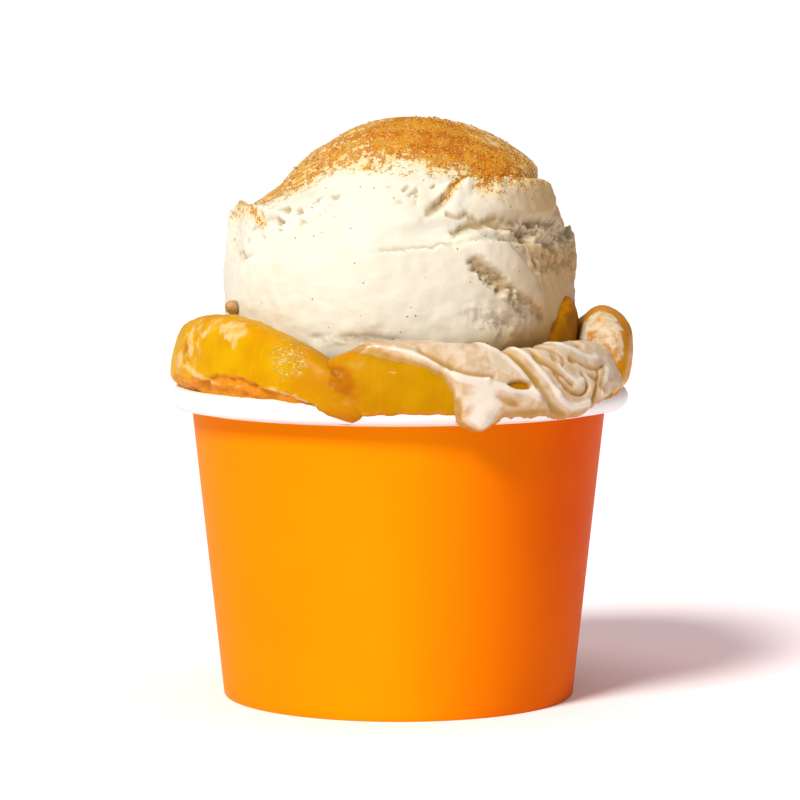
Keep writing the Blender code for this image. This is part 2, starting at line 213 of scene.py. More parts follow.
# Lower edge of the cinnamon round the scoop, and how densely it lies: an angle, and a height
# or a share
CINNAMON_EDGE = (
    (-180, 108.5), (-135, 106), (-90, 100.8), (-70, 102.2), (-56, 107.6), (-37, 113.2), (0, 113.6),
    (20, 111.2), (31, 107), (60, 107.4), (90, 108.2), (135, 110), (180, 108.5)
)
CINNAMON_COVER = (
    (-180, 0.75), (-140, 0.7), (-90, 0.5), (-50, 0.58), (-20, 0.85), (10, 1), (40, 1),
    (66, 0.48), (100, 0.42), (180, 0.75)
)
CINNAMON_FADE = (-6.0, 3.4)
POWDER_SIZE = 0.9 * MM
POWDER_RELIEF = 0.22
GRAIN_COUNT = 900
GRAIN_SIZE = (0.10 * MM, 0.26 * MM)
GRAIN_STRETCH = (0.6, 1.3)
GRAIN_RISE = 0.35

# Peach slices, as in the solids: the steps of the cage, start and end round the cup, the share
# of the length where it is fattest, how full and how blunt the ends are, the heights of the outer
# lower edge and how far out it is, the lean and height of the outer face, the width and crown of
# the skin side, and the width and tilt of the stone side.
Slice = namedtuple(
    "Slice", "steps turn fat ends blunt hem reach lean depth thick crown stone tilt"
)
SLICES = {
    "peach_left": Slice(
        8, (-103, -8), 0.5, (0.22, 0.42), 1.6, (65.6, 67, 61.8), (48.3, 48.4, 49.3),
        13, 14.2, 11, 0.15, 8, 42
    ),
    "peach_front": Slice(
        6, (-21, 39), 0.45, (0.78, 0.3), 3, (62.4, 62.5, 62), (49, 49.2, 49),
        16, 13.8, 11.5, 0.15, 7, 16
    ),
    "peach_right": Slice(
        6, (19, 77), 0.45, (0.8, 0.5), 3, (62.8, 62.8, 65), (48.5, 48.6, 48.4),
        20, 12.4, 10, 0.15, 6.2, 24
    ),
    "peach_end": Slice(
        6, (71, 122), 0.14, (0.8, 0.35), 2.4, (64.8, 65.2, 63.5), (48, 48.3, 48.4),
        -3, 12.8, 12.2, 0.38, 6.5, 12
    ),
    "peach_chunk": Slice(
        3, (57, 88), 0.45, (0.55, 0.5), 2.2, (67.5, 68, 67.5), (37.3, 37.4, 37.2),
        -4, 15.5, 6.5, 0.15, 5, 0
    ),
    "peach_back_right": Slice(
        5, (117, 176), 0.5, (0.45, 0.3), 2.2, (62.8, 64.8, 62.4), (48.5, 48.6, 48.5),
        20, 14.6, 10.5, 0.15, 7, 26
    ),
    "peach_back": Slice(
        5, (167, 221), 0.45, (0.5, 0.4), 2.2, (65, 62.8, 62.6), (48.6, 48.6, 48.6),
        16, 13.8, 10.5, 0.15, 6.5, 18
    ),
    "peach_back_left": Slice(
        5, (211, 263), 0.5, (0.45, 0.4), 2, (62.8, 65.4, 64), (48.4, 48.5, 48.4),
        20, 14.2, 10.5, 0.15, 7, 30
    ),
}
CUTS_UP = 2
CUTS_THROUGH = 2
FACE_BULGE = 0.06
EDGE_CREASE = 0.25
SLICE_LEVELS = 4
SLICE_RADIUS = 47.0
DENT = 6.0 * MM
DENT_RELIEF = 0.28
AXES = ("along", "up", "through")

# Masks of the slices: how far up the stone side reaches on the inner and the outer face, where
# the skin starts, where the torn strip of the left slice ends, and how rough each part is
STONE_INSIDE, STONE_OUTSIDE = 0.30, 0.03
STONE_ENDS = ((-62.0, -57.0), (-19.0, -16.0))
STONE_RELIEF = 0.12
TORN_RELIEF = 0.38
SMOOTH_END = (-27.0, -19.0)
SKIN_EDGE = (0.86, 0.97)
SYRUP_STRETCH = (1.0, 1.0, 1.6)
RAGGED = 2.4 * MM

# Thin cream left on slices, wrinkled patches with painted highlights along their wrinkles, and places
# soaked with dark syrup: the angle and height of the middle, half the length and width, and the tilt
Spot = namedtuple("Spot", "middle level length width tilt")
BLOTCHES = [Spot(*row) for row in (
    (-64, 74.6, 6, 6.5, 20),
    (-52, 78.6, 7, 2.4, -12),
    (230, 77, 8, 3, 0),
)]
BLOTCH_SHARE = 0.42
# The left slice's flesh darkens towards its right end, between these angles, by this share
DARK_END_ANGLES = (-31.0, -13.0)
DARK_END_SHARE = 0.66
CREAM_SPOTS = [Spot(*row) for row in (
    (-46.5, 78, 4.8, 2.2, -10),
    (-44.5, 75.8, 1, 1.7, 0),
    (-58, 77.2, 2.4, 0.9, 40),
    (-64, 74.8, 1.3, 4.2, 24),
    (-70, 71.6, 1.6, 2.6, 10),
    (108, 77, 9, 1.6, 0),
    (146, 76.6, 7, 1.8, 6),
    (196, 75, 8, 1.4, -6),
    (236, 76.8, 6, 1.8, 10),
)]
WRINKLES_AND_HIGHLIGHTS = [Spot(*row) for row in (
    (-27.5, 73, 4.3, 3.9, -30),
    (150, 72, 4, 3.4, 10),
    (238, 72.5, 5, 3.6, -20),
)]
COAT_MIDDLE = (40.4, 74.0)
COAT_SIZE = (6.0, 7.6)
COAT_TILT = -10.0
COAT_WINDOWS = 0.36
SYRUP_SPOTS = [Spot(*row) for row in (
    (-13.8, 69.2, 5.2, 2.8, -58),
    (-67, 74, 1, 1.9, 20),
    (69.5, 68.2, 2.6, 2.6, 0),
    (172, 69, 4.5, 4, 0),
    (214, 69, 4, 4, 0),
)]

# A line on a surface: its points as (angle, height), its width, and its lift or its strength
Stroke = namedtuple("Stroke", "line width lift")
CREAM_FRINGES = [Stroke(*row) for row in (
    (((-72, 71.6), (-65.8, 69.8), (-58, 69), (-50.4, 66.9)), 0.75, 1),
    (((-33.6, 67.3), (-27, 66.5), (-21.9, 65.2), (-19.1, 63.4)), 0.5, 0.9),
    (((-46, 67.6), (-38, 66.9)), 0.35, 0.6),
    (((-5.5, 71.6), (0, 70.9), (2.5, 70.2)), 0.25, 0.45),
)]
# Cracks, grooves and folds of the scoop
NOTCH = ((11.1, 102), (18.4, 104.6), (22.6, 107.6))
SCOOP_STROKES = [Stroke(*row) for row in (
    (((23.4, 91.7), (28.4, 89.5), (34, 87.1), (41.5, 84.1), (53.6, 80.3)), 0.8, -0.9),
    (((21, 96.3), (27.2, 97.7), (39.6, 96.5), (46, 94.3), (47.8, 91.1)), 1.1, 1),
    (((19, 97.6), (27, 99.3), (40.2, 98.2), (48.6, 95.4), (51, 91.4)), 0.8, -1.1),
    (((-6, 94.4), (0.8, 94.9), (8.5, 94.5), (15.9, 95.5), (21, 96.1)), 0.5, -0.45),
    (NOTCH, 1, -1),
    (((18, 101.4), (29, 100), (45, 99.5), (62, 98.9)), 0.7, -0.8),
    (((47, 99.4), (56, 97.2), (66, 96.6)), 0.9, 0.9),
    (((49.8, 94.6), (53, 93.8)), 1.3, 0.9),
    (((50, 88.6), (52, 85.4)), 1.2, 0.8),
    (((-62, 97.6), (-54, 99.4), (-46, 99.8)), 0.5, -0.6),
    (((-72, 94), (-66, 91.6), (-60, 92.4)), 0.5, -0.5),
)]

# Cinnamon in the notch and on the lip, and where the notch is free of it again
NOTCH_STAIN = Stroke(NOTCH, 1.2, 0.65)
NOTCH_FOOT = (102.5, 106.5)
LIP_STAIN = Stroke(((-86, 102.4), (-72, 102), (-61, 100.4), (-53, 98.4)), 1.0, 0.44)

# The torn lower edge of the left slice, with its stone side showing below
STONE_EDGE = (
    (-60, 66.8), (-50, 69.2), (-42, 69.2), (-33.6, 67.2), (-27, 66.4), (-20, 64.4), (-16, 61.5)
)
STONE_DEPTH = 0.9

# Melted cream: a sheet laid along rays from a ring inside the slices
CREAM_ON = ("peach_front", "peach_right")
CREAM_ANGLES = (-19.0, 73.0)
CREAM_TILTS = (-14.0, 104.0)
CREAM_CORE = (40.0 * MM, 61.0 * MM)
CREAM_STEPS = (210, 84)
CREAM_FAR = 50.0 * MM
CREAM_THICK = 0.95
CREAM_SHELL = 0.9 * MM
CREAM_LOWER = (
    (-19, 75.6), (-14, 75), (-8, 74.3), (-2, 73.2), (5, 72), (10.5, 69.9), (12.2, 67.7),
    (12.7, 64.9), (13.4, 62.4), (14.9, 60.4), (19.6, 59.1), (22.9, 60.2), (24.9, 61.8), (31, 61.9),
    (37.5, 61.8), (42, 61.2), (47.7, 61.2), (53.7, 62.3), (60.5, 63.8), (67.2, 64.8), (73, 65.6)
)
CREAM_STROKES = [Stroke(*row) for row in (
    (((-8, 75.4), (-2, 74.5), (3.9, 73.4), (10, 70.9), (15.4, 68.8), (21.1, 68.2)), 0.6, 0.75),
    (((21.1, 68.2), (26.9, 66.9), (33.9, 65.6)), 0.6, 0.6),
    (((5.1, 74.6), (10, 72.4), (14.1, 70.7), (18.3, 69.9), (22.9, 69.4)), 0.45, -0.55),
    (((20.3, 77.4), (24.6, 75.9), (29.1, 73.8), (32.4, 71), (34.8, 68)), 0.75, -0.9),
    (((34.8, 68), (37.2, 65.2), (38.8, 63.2), (42, 61.4)), 0.9, -0.5),
    (((21, 75.8), (26.2, 73.6), (29.8, 70.8), (32.2, 67.6), (34.2, 65)), 0.55, 0.4),
    (((25.5, 77.4), (31, 75.4), (34.9, 72.2), (37.8, 68.9), (40.8, 65.4)), 0.55, 0.5),
    (((40.8, 65.4), (43.2, 63.3), (47, 62.5), (51.6, 63.4)), 0.7, 0.5),
    (((41.5, 69.6), (43.4, 67), (46.6, 65.2), (50, 65), (52.6, 66.6), (51.2, 68.8)), 0.45, -0.7),
    (((43.6, 70.4), (45.4, 68.2), (48.4, 67), (50.6, 67.6)), 0.5, 0.4),
    (((36.4, 72.2), (39.8, 71.2), (43.4, 69.2), (46.6, 67)), 0.4, -0.7),
    (((38.4, 74.4), (42, 74.2), (45, 73), (46, 71.2), (44.4, 70.4)), 0.4, -0.45),
    (((47.6, 74.6), (52, 73), (56, 71.6), (60.6, 71.4)), 0.5, 0.35),
    (((49, 72), (53.6, 70), (57.6, 69.4), (62, 70)), 0.45, -0.55),
    (((53, 63.6), (55.8, 66.4), (58, 69)), 0.5, -0.6),
    (((56.6, 64.4), (59.6, 67), (63, 68.8)), 0.6, 0.4),
)]
# The drip and its tip: thick cream, which the cream's look also whitens as a painted highlight
DROP = Oval(20, 64.4, 4.6, 5.4, -8, 1, 0.42)
TIP = Oval(19.4, 61, 3.6, 3.6, -8, 1, 0.5)
HOLE = Oval(29.6, 67.6, 3.1, 1.15, -4, 0.5, -2.4)
PATCHES = [Oval(*row) for row in (
    (13.4, 62.6, 1.5, 4, -10, 0.8, -1),
    (26.5, 64.7, 3.6, 1.1, -20, 0.8, -0.6),
    (32, 62.6, 5, 0.9, 0, 0.8, -0.35),
    (37.4, 72.8, 2.2, 1.1, -60, 0.8, -0.6),
    (43, 72.2, 1.5, 1.3, 0, 0.8, -0.55),
    (48.6, 71.4, 1.6, 0.9, -30, 0.8, -0.5),
    (55, 68, 2.6, 1, -20, 0.8, -0.55),
    (47.5, 62.2, 3.6, 0.8, 8, 0.8, -0.3),
    (58.5, 66.2, 1.8, 1.8, 0, 0.8, -0.6),
    (55.5, 74, 2, 0.8, 10, 0.8, -0.5),
)]
FILM_WAVES = 0.16
FILM_LEAST = 0.18
FILM_WAVE = 2.6
FILM_STRETCH = (1.0, 1.7, 1.0)
CREAM_EDGE = 0.8
CREAM_END = -0.35
CREAM_LEFT = (-19.0, -9.0)
CREAM_LEAST = 0.45
MILK_LEFT = (-14.0, 8.0)
MILK_LEAST = 0.3

# Sugar bead on the scoop's side
BEAD_ANGLE = -64.6
BEAD_LEVEL = 82.0 * MM
BEAD_SIZE = 1.45 * MM
BEAD_SUNK = 0.25


def smooth(low, high, value):
    """Eased step from 0 to 1."""
    t = np.clip((value - low) / (high - low), 0.0, 1.0)
    return t * t * (3.0 - 2.0 * t)


def window(value, rise, fall):
    """1 between a rise and a fall, each eased, and 0 outside them."""
    return smooth(*rise, value) * (1.0 - smooth(*fall, value))


def noise_of(points, size, detail=1):
    """Smooth noise from about -1 to 1 at each point."""
    return np.array([noise.fractal(Vector(p), 1.0, 2.0, detail) for p in points / size])


def crumbs_of(points, size, detail):
    """Lumpy noise from about 0 to 1 at each point."""
    return np.array([noise.turbulence(Vector(p), detail, False) for p in points / size])


def pebbles_of(points, size):
    """Rounded lumps with creases between them: 0 in a crease, 1 on a lump."""
    warped = [Vector(p) + WARP * noise.noise_vector(WARP_SCALE * Vector(p)) for p in points / size]
    near = np.array([noise.voronoi(p)[0][:2] for p in warped])
    return np.clip(LUMP_STEEP * (near[:, 1] - near[:, 0]), 0.0, 1.0) ** LUMP_ROUND


def around(points):
    """Angle round the cup of each point, in degrees."""
    return np.degrees(np.arctan2(points[..., 0], -points[..., 1]))


def arc_from(angle, middle, radius):
    """Signed arc in mm between an angle and a middle, both in degrees."""
    return np.radians((angle - middle + 180.0) % 360.0 - 180.0) * radius


def oval_distance(angle, height, oval, radius):
    """Distance from an oval's middle: 0 there, and 1 at its edge."""
    arc = arc_from(angle, oval.middle, radius)
    rise = height - oval.level
    turn = math.radians(oval.tilt)
    along = (arc * math.cos(turn) + rise * math.sin(turn)) / oval.length
    across = (rise * math.cos(turn) - arc * math.sin(turn)) / oval.width
    return np.hypot(along, across)


def ovals_lift(angle, height, ovals, radius=SLICE_RADIUS):
    """The ovals' sizes, each fading to nothing at its edge, added up."""
    total = np.zeros(np.shape(angle))
    for oval in ovals:
        distance = oval_distance(angle, height, oval, radius)
        total = total + oval.size * (1.0 - smooth(1.0 - oval.soft, 1.0, distance))
    return total


def curved(line, rounds=2):
    """A line of points with its corners cut round."""
    line = np.array(line, float)
    for _ in range(rounds):
        near, far = 0.75 * line[:-1] + 0.25 * line[1:], 0.25 * line[:-1] + 0.75 * line[1:]
        inner = np.stack([near, far], axis=1).reshape(-1, 2)
        line = np.vstack([line[:1], inner, line[-1:]])
    return line


def line_distance(angle, height, line, radius):
    """Distance in mm from a smooth line through (angle, height) points."""
    arc = np.radians(angle) * radius
    stops = [(math.radians(stop) * radius, level) for stop, level in curved(line)]
    nearest = np.full(np.shape(height), 1e3)
    for (x0, y0), (x1, y1) in zip(stops, stops[1:]):
        dx, dy = x1 - x0, y1 - y0
        share = np.clip(((arc - x0) * dx + (height - y0) * dy) / (dx * dx + dy * dy), 0.0, 1.0)
        nearest = np.minimum(nearest, np.hypot(arc - x0 - share * dx, height - y0 - share * dy))
    return nearest


def strokes_lift(angle, height, strokes, radius=SLICE_RADIUS):
    """The lines' lifts, each fading away from its line, added up."""
    total = np.zeros(np.shape(height))
    for stroke in strokes:
        away = line_distance(angle, height, stroke.line, radius)
        total = total + stroke.lift * np.exp(-((away / stroke.width) ** 2))
    return total


class Look:
    """A Principled material, and short calls that add nodes to it. Sizes are in mm.

    reach is how far red, green and blue light go under the surface.
    """

    def __init__(self, name, reach=None, **values):
        self.material = bpy.data.materials.new(name)
        self.material.use_nodes = True
        self.tree = self.material.node_tree
        self.shader = self.tree.nodes["Principled BSDF"]
        for socket, value in values.items():
            self.set(socket.replace("_", " ").title().replace("Ior", "IOR"), value)
        if reach:
            self.set("Subsurface Radius", tuple(part * MM for part in reach))
            self.set("Subsurface Scale", 1.0)

    def set(self, socket, value):
        self.fill(self.shader.inputs[socket], value)

    def fill(self, socket, value):
        if isinstance(value, bpy.types.NodeSocket):
            self.tree.links.new(value, socket)
        elif isinstance(value, tuple) and len(value) == 3 and socket.type == "RGBA":
            socket.default_value = (*value, 1.0)
        else:
            socket.default_value = value

    def add(self, kind, output, inputs, **settings):
        made = self.tree.nodes.new("ShaderNode" + kind)
        for name, value in settings.items():
            setattr(made, name, value)
        for name, value in inputs.items():
            self.fill(made.inputs[name], value)
        return made.outputs[output]

    def place(self, stretch=(1.0, 1.0, 1.0)):
        where = self.add("TexCoord", "Object", {})
        return self.add("Mapping", "Vector", {"Vector": where, "Scale": stretch})

    def attribute(self, name, output="Fac"):
        return self.add("Attribute", output, {}, attribute_name=name)

    def noise(self, size, detail=2.0, where=None, distortion=0.0):
        inputs = {"Vector": where or self.place(), "Scale": 1.0 / (size * MM), "Detail": detail}
        inputs["Distortion"] = distortion
        return self.add("TexNoise", "Fac", inputs)

    def cells(self, size, output="Distance"):
        inputs = {"Vector": self.place(), "Scale": 1.0 / (size * MM)}
        return self.add("TexVoronoi", output, inputs)

    def dots(self, size, full, gone, chosen):
        """Round dots in some cells, from full at one radius to gone at the next."""
        near = self.step(self.cells(size), full, gone, 1.0, 0.0)
        return self.times(near, self.step(self.cells(size, "Color"), *chosen))

    def step(self, value, low, high, to_low=0.0, to_high=1.0):
        inputs = {"Value": value, "From Min": low, "From Max": high}
        inputs.update({"To Min": to_low, "To Max": to_high})
        return self.add("MapRange", "Result", inputs, interpolation_type="SMOOTHSTEP")

    def math(self, operation, first, second):
        return self.add("Math", 0, {0: first, 1: second}, operation=operation)

    def times(self, first, second):
        return self.math("MULTIPLY", first, second)

    def mix(self, share, first, second):
        return self.add("Mix", 2, {0: share, 6: first, 7: second}, data_type="RGBA")

    def bump(self, height, distance, strength=1.0, under=None):
        inputs = {"Height": height, "Distance": distance * MM, "Strength": strength}
        if under is not None:
            inputs["Normal"] = under
        return self.add("Bump", "Normal", inputs)


def orange_print_with_painted_shade():
    """Satin orange ink on board, with painted light and shade: yellower from the left edge to the
    middle, and darker and redder towards the +X side, away from the key light.
    """
    look = Look("orange_print_with_painted_shade", roughness=0.42, specular_ior_level=0.015)
    clouds = look.noise(28.0, 3.0)
    side = look.add("SeparateXYZ", "X", {"Vector": look.add("TexCoord", "Object", {})})
    # Painted light and shade across the cup: lit makes the ink yellower from the left edge to the
    # middle, and share makes it darker and redder towards +X, away from the key light
    share = look.step(side, -0.15 * FOOT_RADIUS, 1.1 * FOOT_RADIUS)
    lit = look.step(side, -1.0 * FOOT_RADIUS, 0.1 * FOOT_RADIUS)
    ink_with_painted_shade = look.mix(lit, (0.96, 0.245, 0.0004), (0.98, 0.295, 0.0004))
    ink_with_painted_shade = look.mix(share, ink_with_painted_shade, (0.74, 0.084, 0.0004))
    ink_with_painted_shade = look.mix(look.step(clouds, 0.3, 0.7, 0.0, 0.3), ink_with_painted_shade, (0.95, 0.21, 0.0005))
    look.set("Base Color", ink_with_painted_shade)
    fibres = look.noise(0.7, 3.0)
    look.set("Roughness", look.step(fibres, 0.2, 0.8, 0.38, 0.48))
    look.set("Normal", look.bump(fibres, 0.02, 0.35))
    return look.material


def white_paper(name, tone):
    """White board with a faint fibre."""
    look = Look(name, roughness=0.45, subsurface_weight=0.15, reach=(1.0, 0.9, 0.8))
    fibres = look.noise(0.9, 4.0)
    darker = tuple(0.965 * part for part in tone)
    look.set("Base Color", look.mix(look.step(fibres, 0.3, 0.7), darker, tone))
    look.set("Roughness", look.step(fibres, 0.2, 0.8, 0.42, 0.52))
    look.set("Normal", look.bump(fibres, 0.02, 0.5))
    return look.material


def vanilla_look():
    """Vanilla ice cream with bean specks, cinnamon where the mask says so, and painted shade on its
    shaded side, at its foot, in its creases and between its crumbs.
    """
    look = Look(
        "vanilla_ice_cream", (1.8, 1.2, 0.7), subsurface_weight=0.35, specular_ior_level=0.14
    )
    clouds = look.noise(11.0, 3.0)
    streaks = look.noise(4.5, 3.0, look.place((0.45, 0.45, 1.6)))
    cream = look.mix(look.step(clouds, 0.35, 0.7), (0.765, 0.73, 0.61), (0.725, 0.682, 0.545))
    cream = look.mix(look.step(streaks, 0.55, 0.75, 0.0, 0.4), cream, (0.785, 0.755, 0.64))
    # Painted shade: tan-brown on the side away from the key light, less on the torn band, and at the
    # foot, where it is partly a syrup stain
    cream = look.mix(look.attribute("painted_shade_and_foot_stain"), cream, (0.5, 0.31, 0.115))
    # Painted shade: brown in the creases and cracks, and in the gap between the scoop's foot and the
    # slices
    cream = look.mix(look.attribute("crease_and_gap_shade"), cream, (0.4, 0.265, 0.095))
    torn = look.attribute("torn")
    crumbs = look.noise(0.85, 4.0)
    # Painted shade between the crumbs of the torn patches
    shade = look.times(look.step(crumbs, 0.4, 0.56, 0.42, 0.0), torn)
    cream = look.mix(shade, cream, (0.44, 0.3, 0.14))

    dots = look.dots(2.1, 0.07, 0.125, (0.6, 0.62))
    cream = look.mix(look.times(dots, 0.75), cream, (0.16, 0.125, 0.08))
    tiny = look.dots(1.05, 0.07, 0.12, (0.66, 0.67))
    cream = look.mix(look.times(tiny, 0.5), cream, (0.34, 0.28, 0.18))

    dusted = look.attribute("cinnamon")
    clumps = look.noise(1.3, 4.0)
    grain = look.noise(0.42, 3.0)
    broken = look.step(clumps, 0.25, 0.75, -0.42, 0.42)
    broken = look.math("ADD", broken, look.step(grain, 0.3, 0.7, -0.3, 0.3))
    mask = look.step(look.math("ADD", dusted, broken), 0.34, 0.66)
    mask = look.times(mask, look.step(dusted, 0.02, 0.2))
    blotches = look.noise(4.2, 2.0)
    powder = look.mix(look.step(blotches, 0.4, 0.6), (0.56, 0.155, 0.003), (0.7, 0.285, 0.016))
    powder = look.mix(look.step(clumps, 0.5, 0.68, 0.0, 0.5), powder, (0.76, 0.36, 0.04))
    powder = look.mix(look.step(grain, 0.58, 0.68, 0.0, 0.5), powder, (0.88, 0.57, 0.2))
    powder = look.mix(look.step(grain, 0.42, 0.34, 0.0, 0.65), powder, (0.36, 0.095, 0.004))
    tinted = look.mix(look.step(dusted, 0.0, 0.4, 0.0, 0.85), cream, (0.82, 0.65, 0.33))
    tinted = look.mix(look.step(dusted, 0.25, 0.7, 0.0, 0.8), tinted, (0.82, 0.49, 0.12))
    look.set("Base Color", look.mix(mask, tinted, powder))
    look.set("Roughness", look.step(mask, 0.0, 1.0, 0.5, 0.9))
    fine = look.bump(look.noise(0.55, 4.0), 0.16, 0.4)
    fine = look.bump(look.times(crumbs, torn), 0.5, 0.7, fine)
    gritty = look.times(look.noise(0.34, 2.0), mask)
    look.set("Normal", look.bump(gritty, 0.5, 0.9, fine))
    return look.material


def peach_look(name, flesh, deep, coat=((0.76, 0.42, 0.1), (0.8, 0.55, 0.26)), cover=0.75):
    """Wet peach: fibres from stone to skin, with cream, syrup, and wrinkles with painted highlights
    along them, by their masks.
    """
    look = Look(
        name, (4.0, 1.7, 0.3), subsurface_weight=0.35, specular_ior_level=0.022,
        coat_weight=0.01, coat_roughness=0.12
    )
    grain = look.attribute("grain", "Vector")
    fine = look.add("Mapping", "Vector", {"Vector": grain, "Scale": (1.0, 0.14, 0.5)})
    fibres = look.noise(0.9, 3.0, fine)
    clouds = look.noise(7.0, 3.0)
    colour = look.mix(look.step(clouds, 0.3, 0.72), flesh, deep)
    lit = tuple(min(1.0, 1.1 * part) for part in flesh)
    colour = look.mix(look.step(fibres, 0.5, 0.72, 0.0, 0.3), colour, lit)
    rough_stone = look.mix(look.noise(1.6, 4.0, fine), (0.54, 0.145, 0.004), (0.78, 0.3, 0.03))
    colour = look.mix(look.times(look.attribute("stone"), 0.85), colour, rough_stone)
    skin = look.times(look.attribute("skin"), look.step(look.noise(2.5), 0.35, 0.6))
    colour = look.mix(look.times(skin, 0.45), colour, (0.66, 0.23, 0.004))
    dark = look.mix(look.noise(2.6, 3.0), (0.34, 0.085, 0.002), (0.54, 0.185, 0.004))
    colour = look.mix(look.times(look.attribute("syrup"), 0.9), colour, dark)

    wrinkle_highlight_lines = look.noise(2.3, 2.0, look.place((0.8, 0.8, 1.5)), 1.6)
    wrinkle_highlight_lines = look.math("ABSOLUTE", look.math("SUBTRACT", wrinkle_highlight_lines, 0.5), 0.0)
    wrinkle_highlight_lines = look.times(look.step(wrinkle_highlight_lines, 0.006, 0.05, 1.0, 0.0), look.attribute("wrinkle_and_highlight"))
    # Painted highlight: pale yellow lines along the wrinkles
    colour = look.mix(look.times(wrinkle_highlight_lines, 0.85), colour, (1.0, 0.84, 0.34))

    mottled = look.noise(1.5, 4.0)
    cream = look.mix(look.step(mottled, 0.38, 0.62), *coat)
    coated = look.math("ADD", look.attribute("cream"), look.step(mottled, 0.3, 0.7, -0.25, 0.25))
    coated = look.step(coated, 0.25, 0.95, 0.0, cover)
    look.set("Base Color", look.mix(coated, colour, cream))
    look.set("Roughness", look.step(look.noise(3.0, 3.0), 0.3, 0.7, 0.26, 0.42))
    fibre_bump = look.bump(fibres, 0.08, 0.4)
    wrinkled = look.bump(wrinkle_highlight_lines, 0.4, 0.9, fibre_bump)
    look.set("Normal", look.bump(look.times(mottled, coated), 0.4, 0.5, wrinkled))
    return look.material


def cream_look():
    """Melted cream marbled with syrup: thin where the mask is low, and whiter where it is highest,
    partly as thicker cream and partly as a painted highlight.
    """
    look = Look(
        "melted_cream_look", (2.4, 1.4, 0.7), subsurface_weight=0.35, specular_ior_level=0.25,
        coat_weight=0.22, coat_roughness=0.14
    )
    swirl = look.noise(4.2, 2.5, look.attribute("flow", "Vector"), 1.6)
    body = look.attribute("body")
    milk = look.mix(look.step(swirl, 0.3, 0.7), (0.62, 0.415, 0.24), (0.71, 0.545, 0.38))
    streak = look.math("ABSOLUTE", look.math("SUBTRACT", swirl, 0.47), 0.0)
    streak = look.step(streak, 0.0, 0.035, 1.0, 0.0)
    milk = look.mix(look.times(streak, 0.28), milk, (0.5, 0.27, 0.08))
    # Whiter on the thickest cream, the ridges and the drip: partly thicker cream, partly a painted
    # highlight
    milk = look.mix(look.step(body, 0.92, 1.32), milk, (0.8, 0.69, 0.575))
    thin = look.mix(look.noise(2.0), (0.42, 0.19, 0.012), (0.54, 0.33, 0.09))
    look.set("Base Color", look.mix(look.step(body, 0.28, 0.95), thin, milk))
    look.set("Roughness", look.step(look.noise(2.4), 0.3, 0.7, 0.28, 0.42))
    look.set("Normal", look.bump(look.noise(1.3, 3.0), 0.12, 0.35))
    return look.material


def syrup_look():
    """Amber syrup over chunks of fruit."""
    look = Look(
        "amber_syrup", (5.0, 2.0, 0.4), roughness=0.22,
        subsurface_weight=0.5, coat_weight=0.6, coat_roughness=0.05
    )
    fruit = look.attribute("fruit")
    syrup = look.mix(look.noise(4.0, 2.0), (0.46, 0.135, 0.006), (0.64, 0.23, 0.01))
    flesh = look.mix(look.noise(3.0, 4.0), (0.74, 0.31, 0.012), (0.84, 0.42, 0.05))
    look.set("Base Color", look.mix(fruit, syrup, flesh))
    look.set("Normal", look.bump(look.noise(1.2, 3.0), 0.15, 0.4))
    return look.material


def powder_look():
    """Loose grains of cinnamon sugar."""
    look = Look("cinnamon_grain", roughness=0.8, specular_ior_level=0.2)
    tone = look.step(look.noise(0.8, 2.0), 0.35, 0.65)
    look.set("Base Color", look.mix(tone, (0.44, 0.13, 0.006), (0.8, 0.44, 0.09)))
    return look.material


def bead_look():
    """A caramel-brown sugar bead."""
    look = Look("sugar_bead", roughness=0.5, subsurface_weight=0.2, reach=(1.0, 0.6, 0.3))
    tone = look.noise(0.9, 3.0)
    look.set("Base Color", look.mix(tone, (0.38, 0.2, 0.06), (0.54, 0.33, 0.12)))
    look.set("Normal", look.bump(tone, 0.15, 0.6))
    return look.material


def woven(points, wrap_columns=False, wrap_rows=False, first=None, last=None):
    """Corners and faces of a grid of points, rows by columns, closed where asked.

    first and last are points that close the first and the last row with a fan.
    """
    rows, columns = points.shape[:2]
    index = np.arange(rows * columns).reshape(rows, columns)
    corners = points.reshape(-1, 3).tolist()
    top, bottom = index[0], index[-1]
    if wrap_columns:
        index = np.hstack([index, index[:, :1]])
    if wrap_rows:
        index = np.vstack([index, index[:1]])
    square = (index[:-1, :-1], index[1:, :-1], index[1:, 1:], index[:-1, 1:])
    faces = np.stack(square, axis=-1).reshape(-1, 4).tolist()
    for cap, row, turn in ((first, top, 1), (last, bottom, -1)):
        if cap is not None:
            corners.append(list(cap))
            ring = np.append(row, row[0])[::turn].tolist()
            faces += [(len(corners) - 1, a, b) for a, b in zip(ring, ring[1:])]
    return corners, faces


def mesh_of(name, corners, faces):
    mesh = bpy.data.meshes.new(name)
    mesh.from_pydata(corners, [], faces)
    mesh.update()
    return mesh


@contextmanager
def edited(mesh):
    """Opens a mesh for an edit, and writes the edit back."""
    work = bmesh.new()
    work.from_mesh(mesh)
    yield work
    work.to_mesh(mesh)
    work.free()


def closed_mesh(name, points, wrap_rows=False, first=None, last=None):
    """A closed mesh of rings of points, with its faces turned outwards."""
    mesh = mesh_of(name, *woven(points, True, wrap_rows, first, last))
    with edited(mesh) as work:
        bmesh.ops.recalc_face_normals(work, faces=work.faces[:])
    return mesh


def read(data, field, width=3):
    """A field of every vertex, one row for each."""
    out = np.zeros(len(data) * width, np.float32)
    data.foreach_get(field, out)
    return out.reshape(-1, width).astype(float)


def put_values(mesh, name, values):
    """Stores one number, or one vector, for each vertex."""
    vector = values.ndim == 2
    made = mesh.attributes.new(name, "FLOAT_VECTOR" if vector else "FLOAT", "POINT")
    made.data.foreach_set("vector" if vector else "value", values.astype(np.float32).ravel())


def new_object(name, data):
    """An object in the scene."""
    obj = bpy.data.objects.new(name, data)
    bpy.context.scene.collection.objects.link(obj)
    return obj


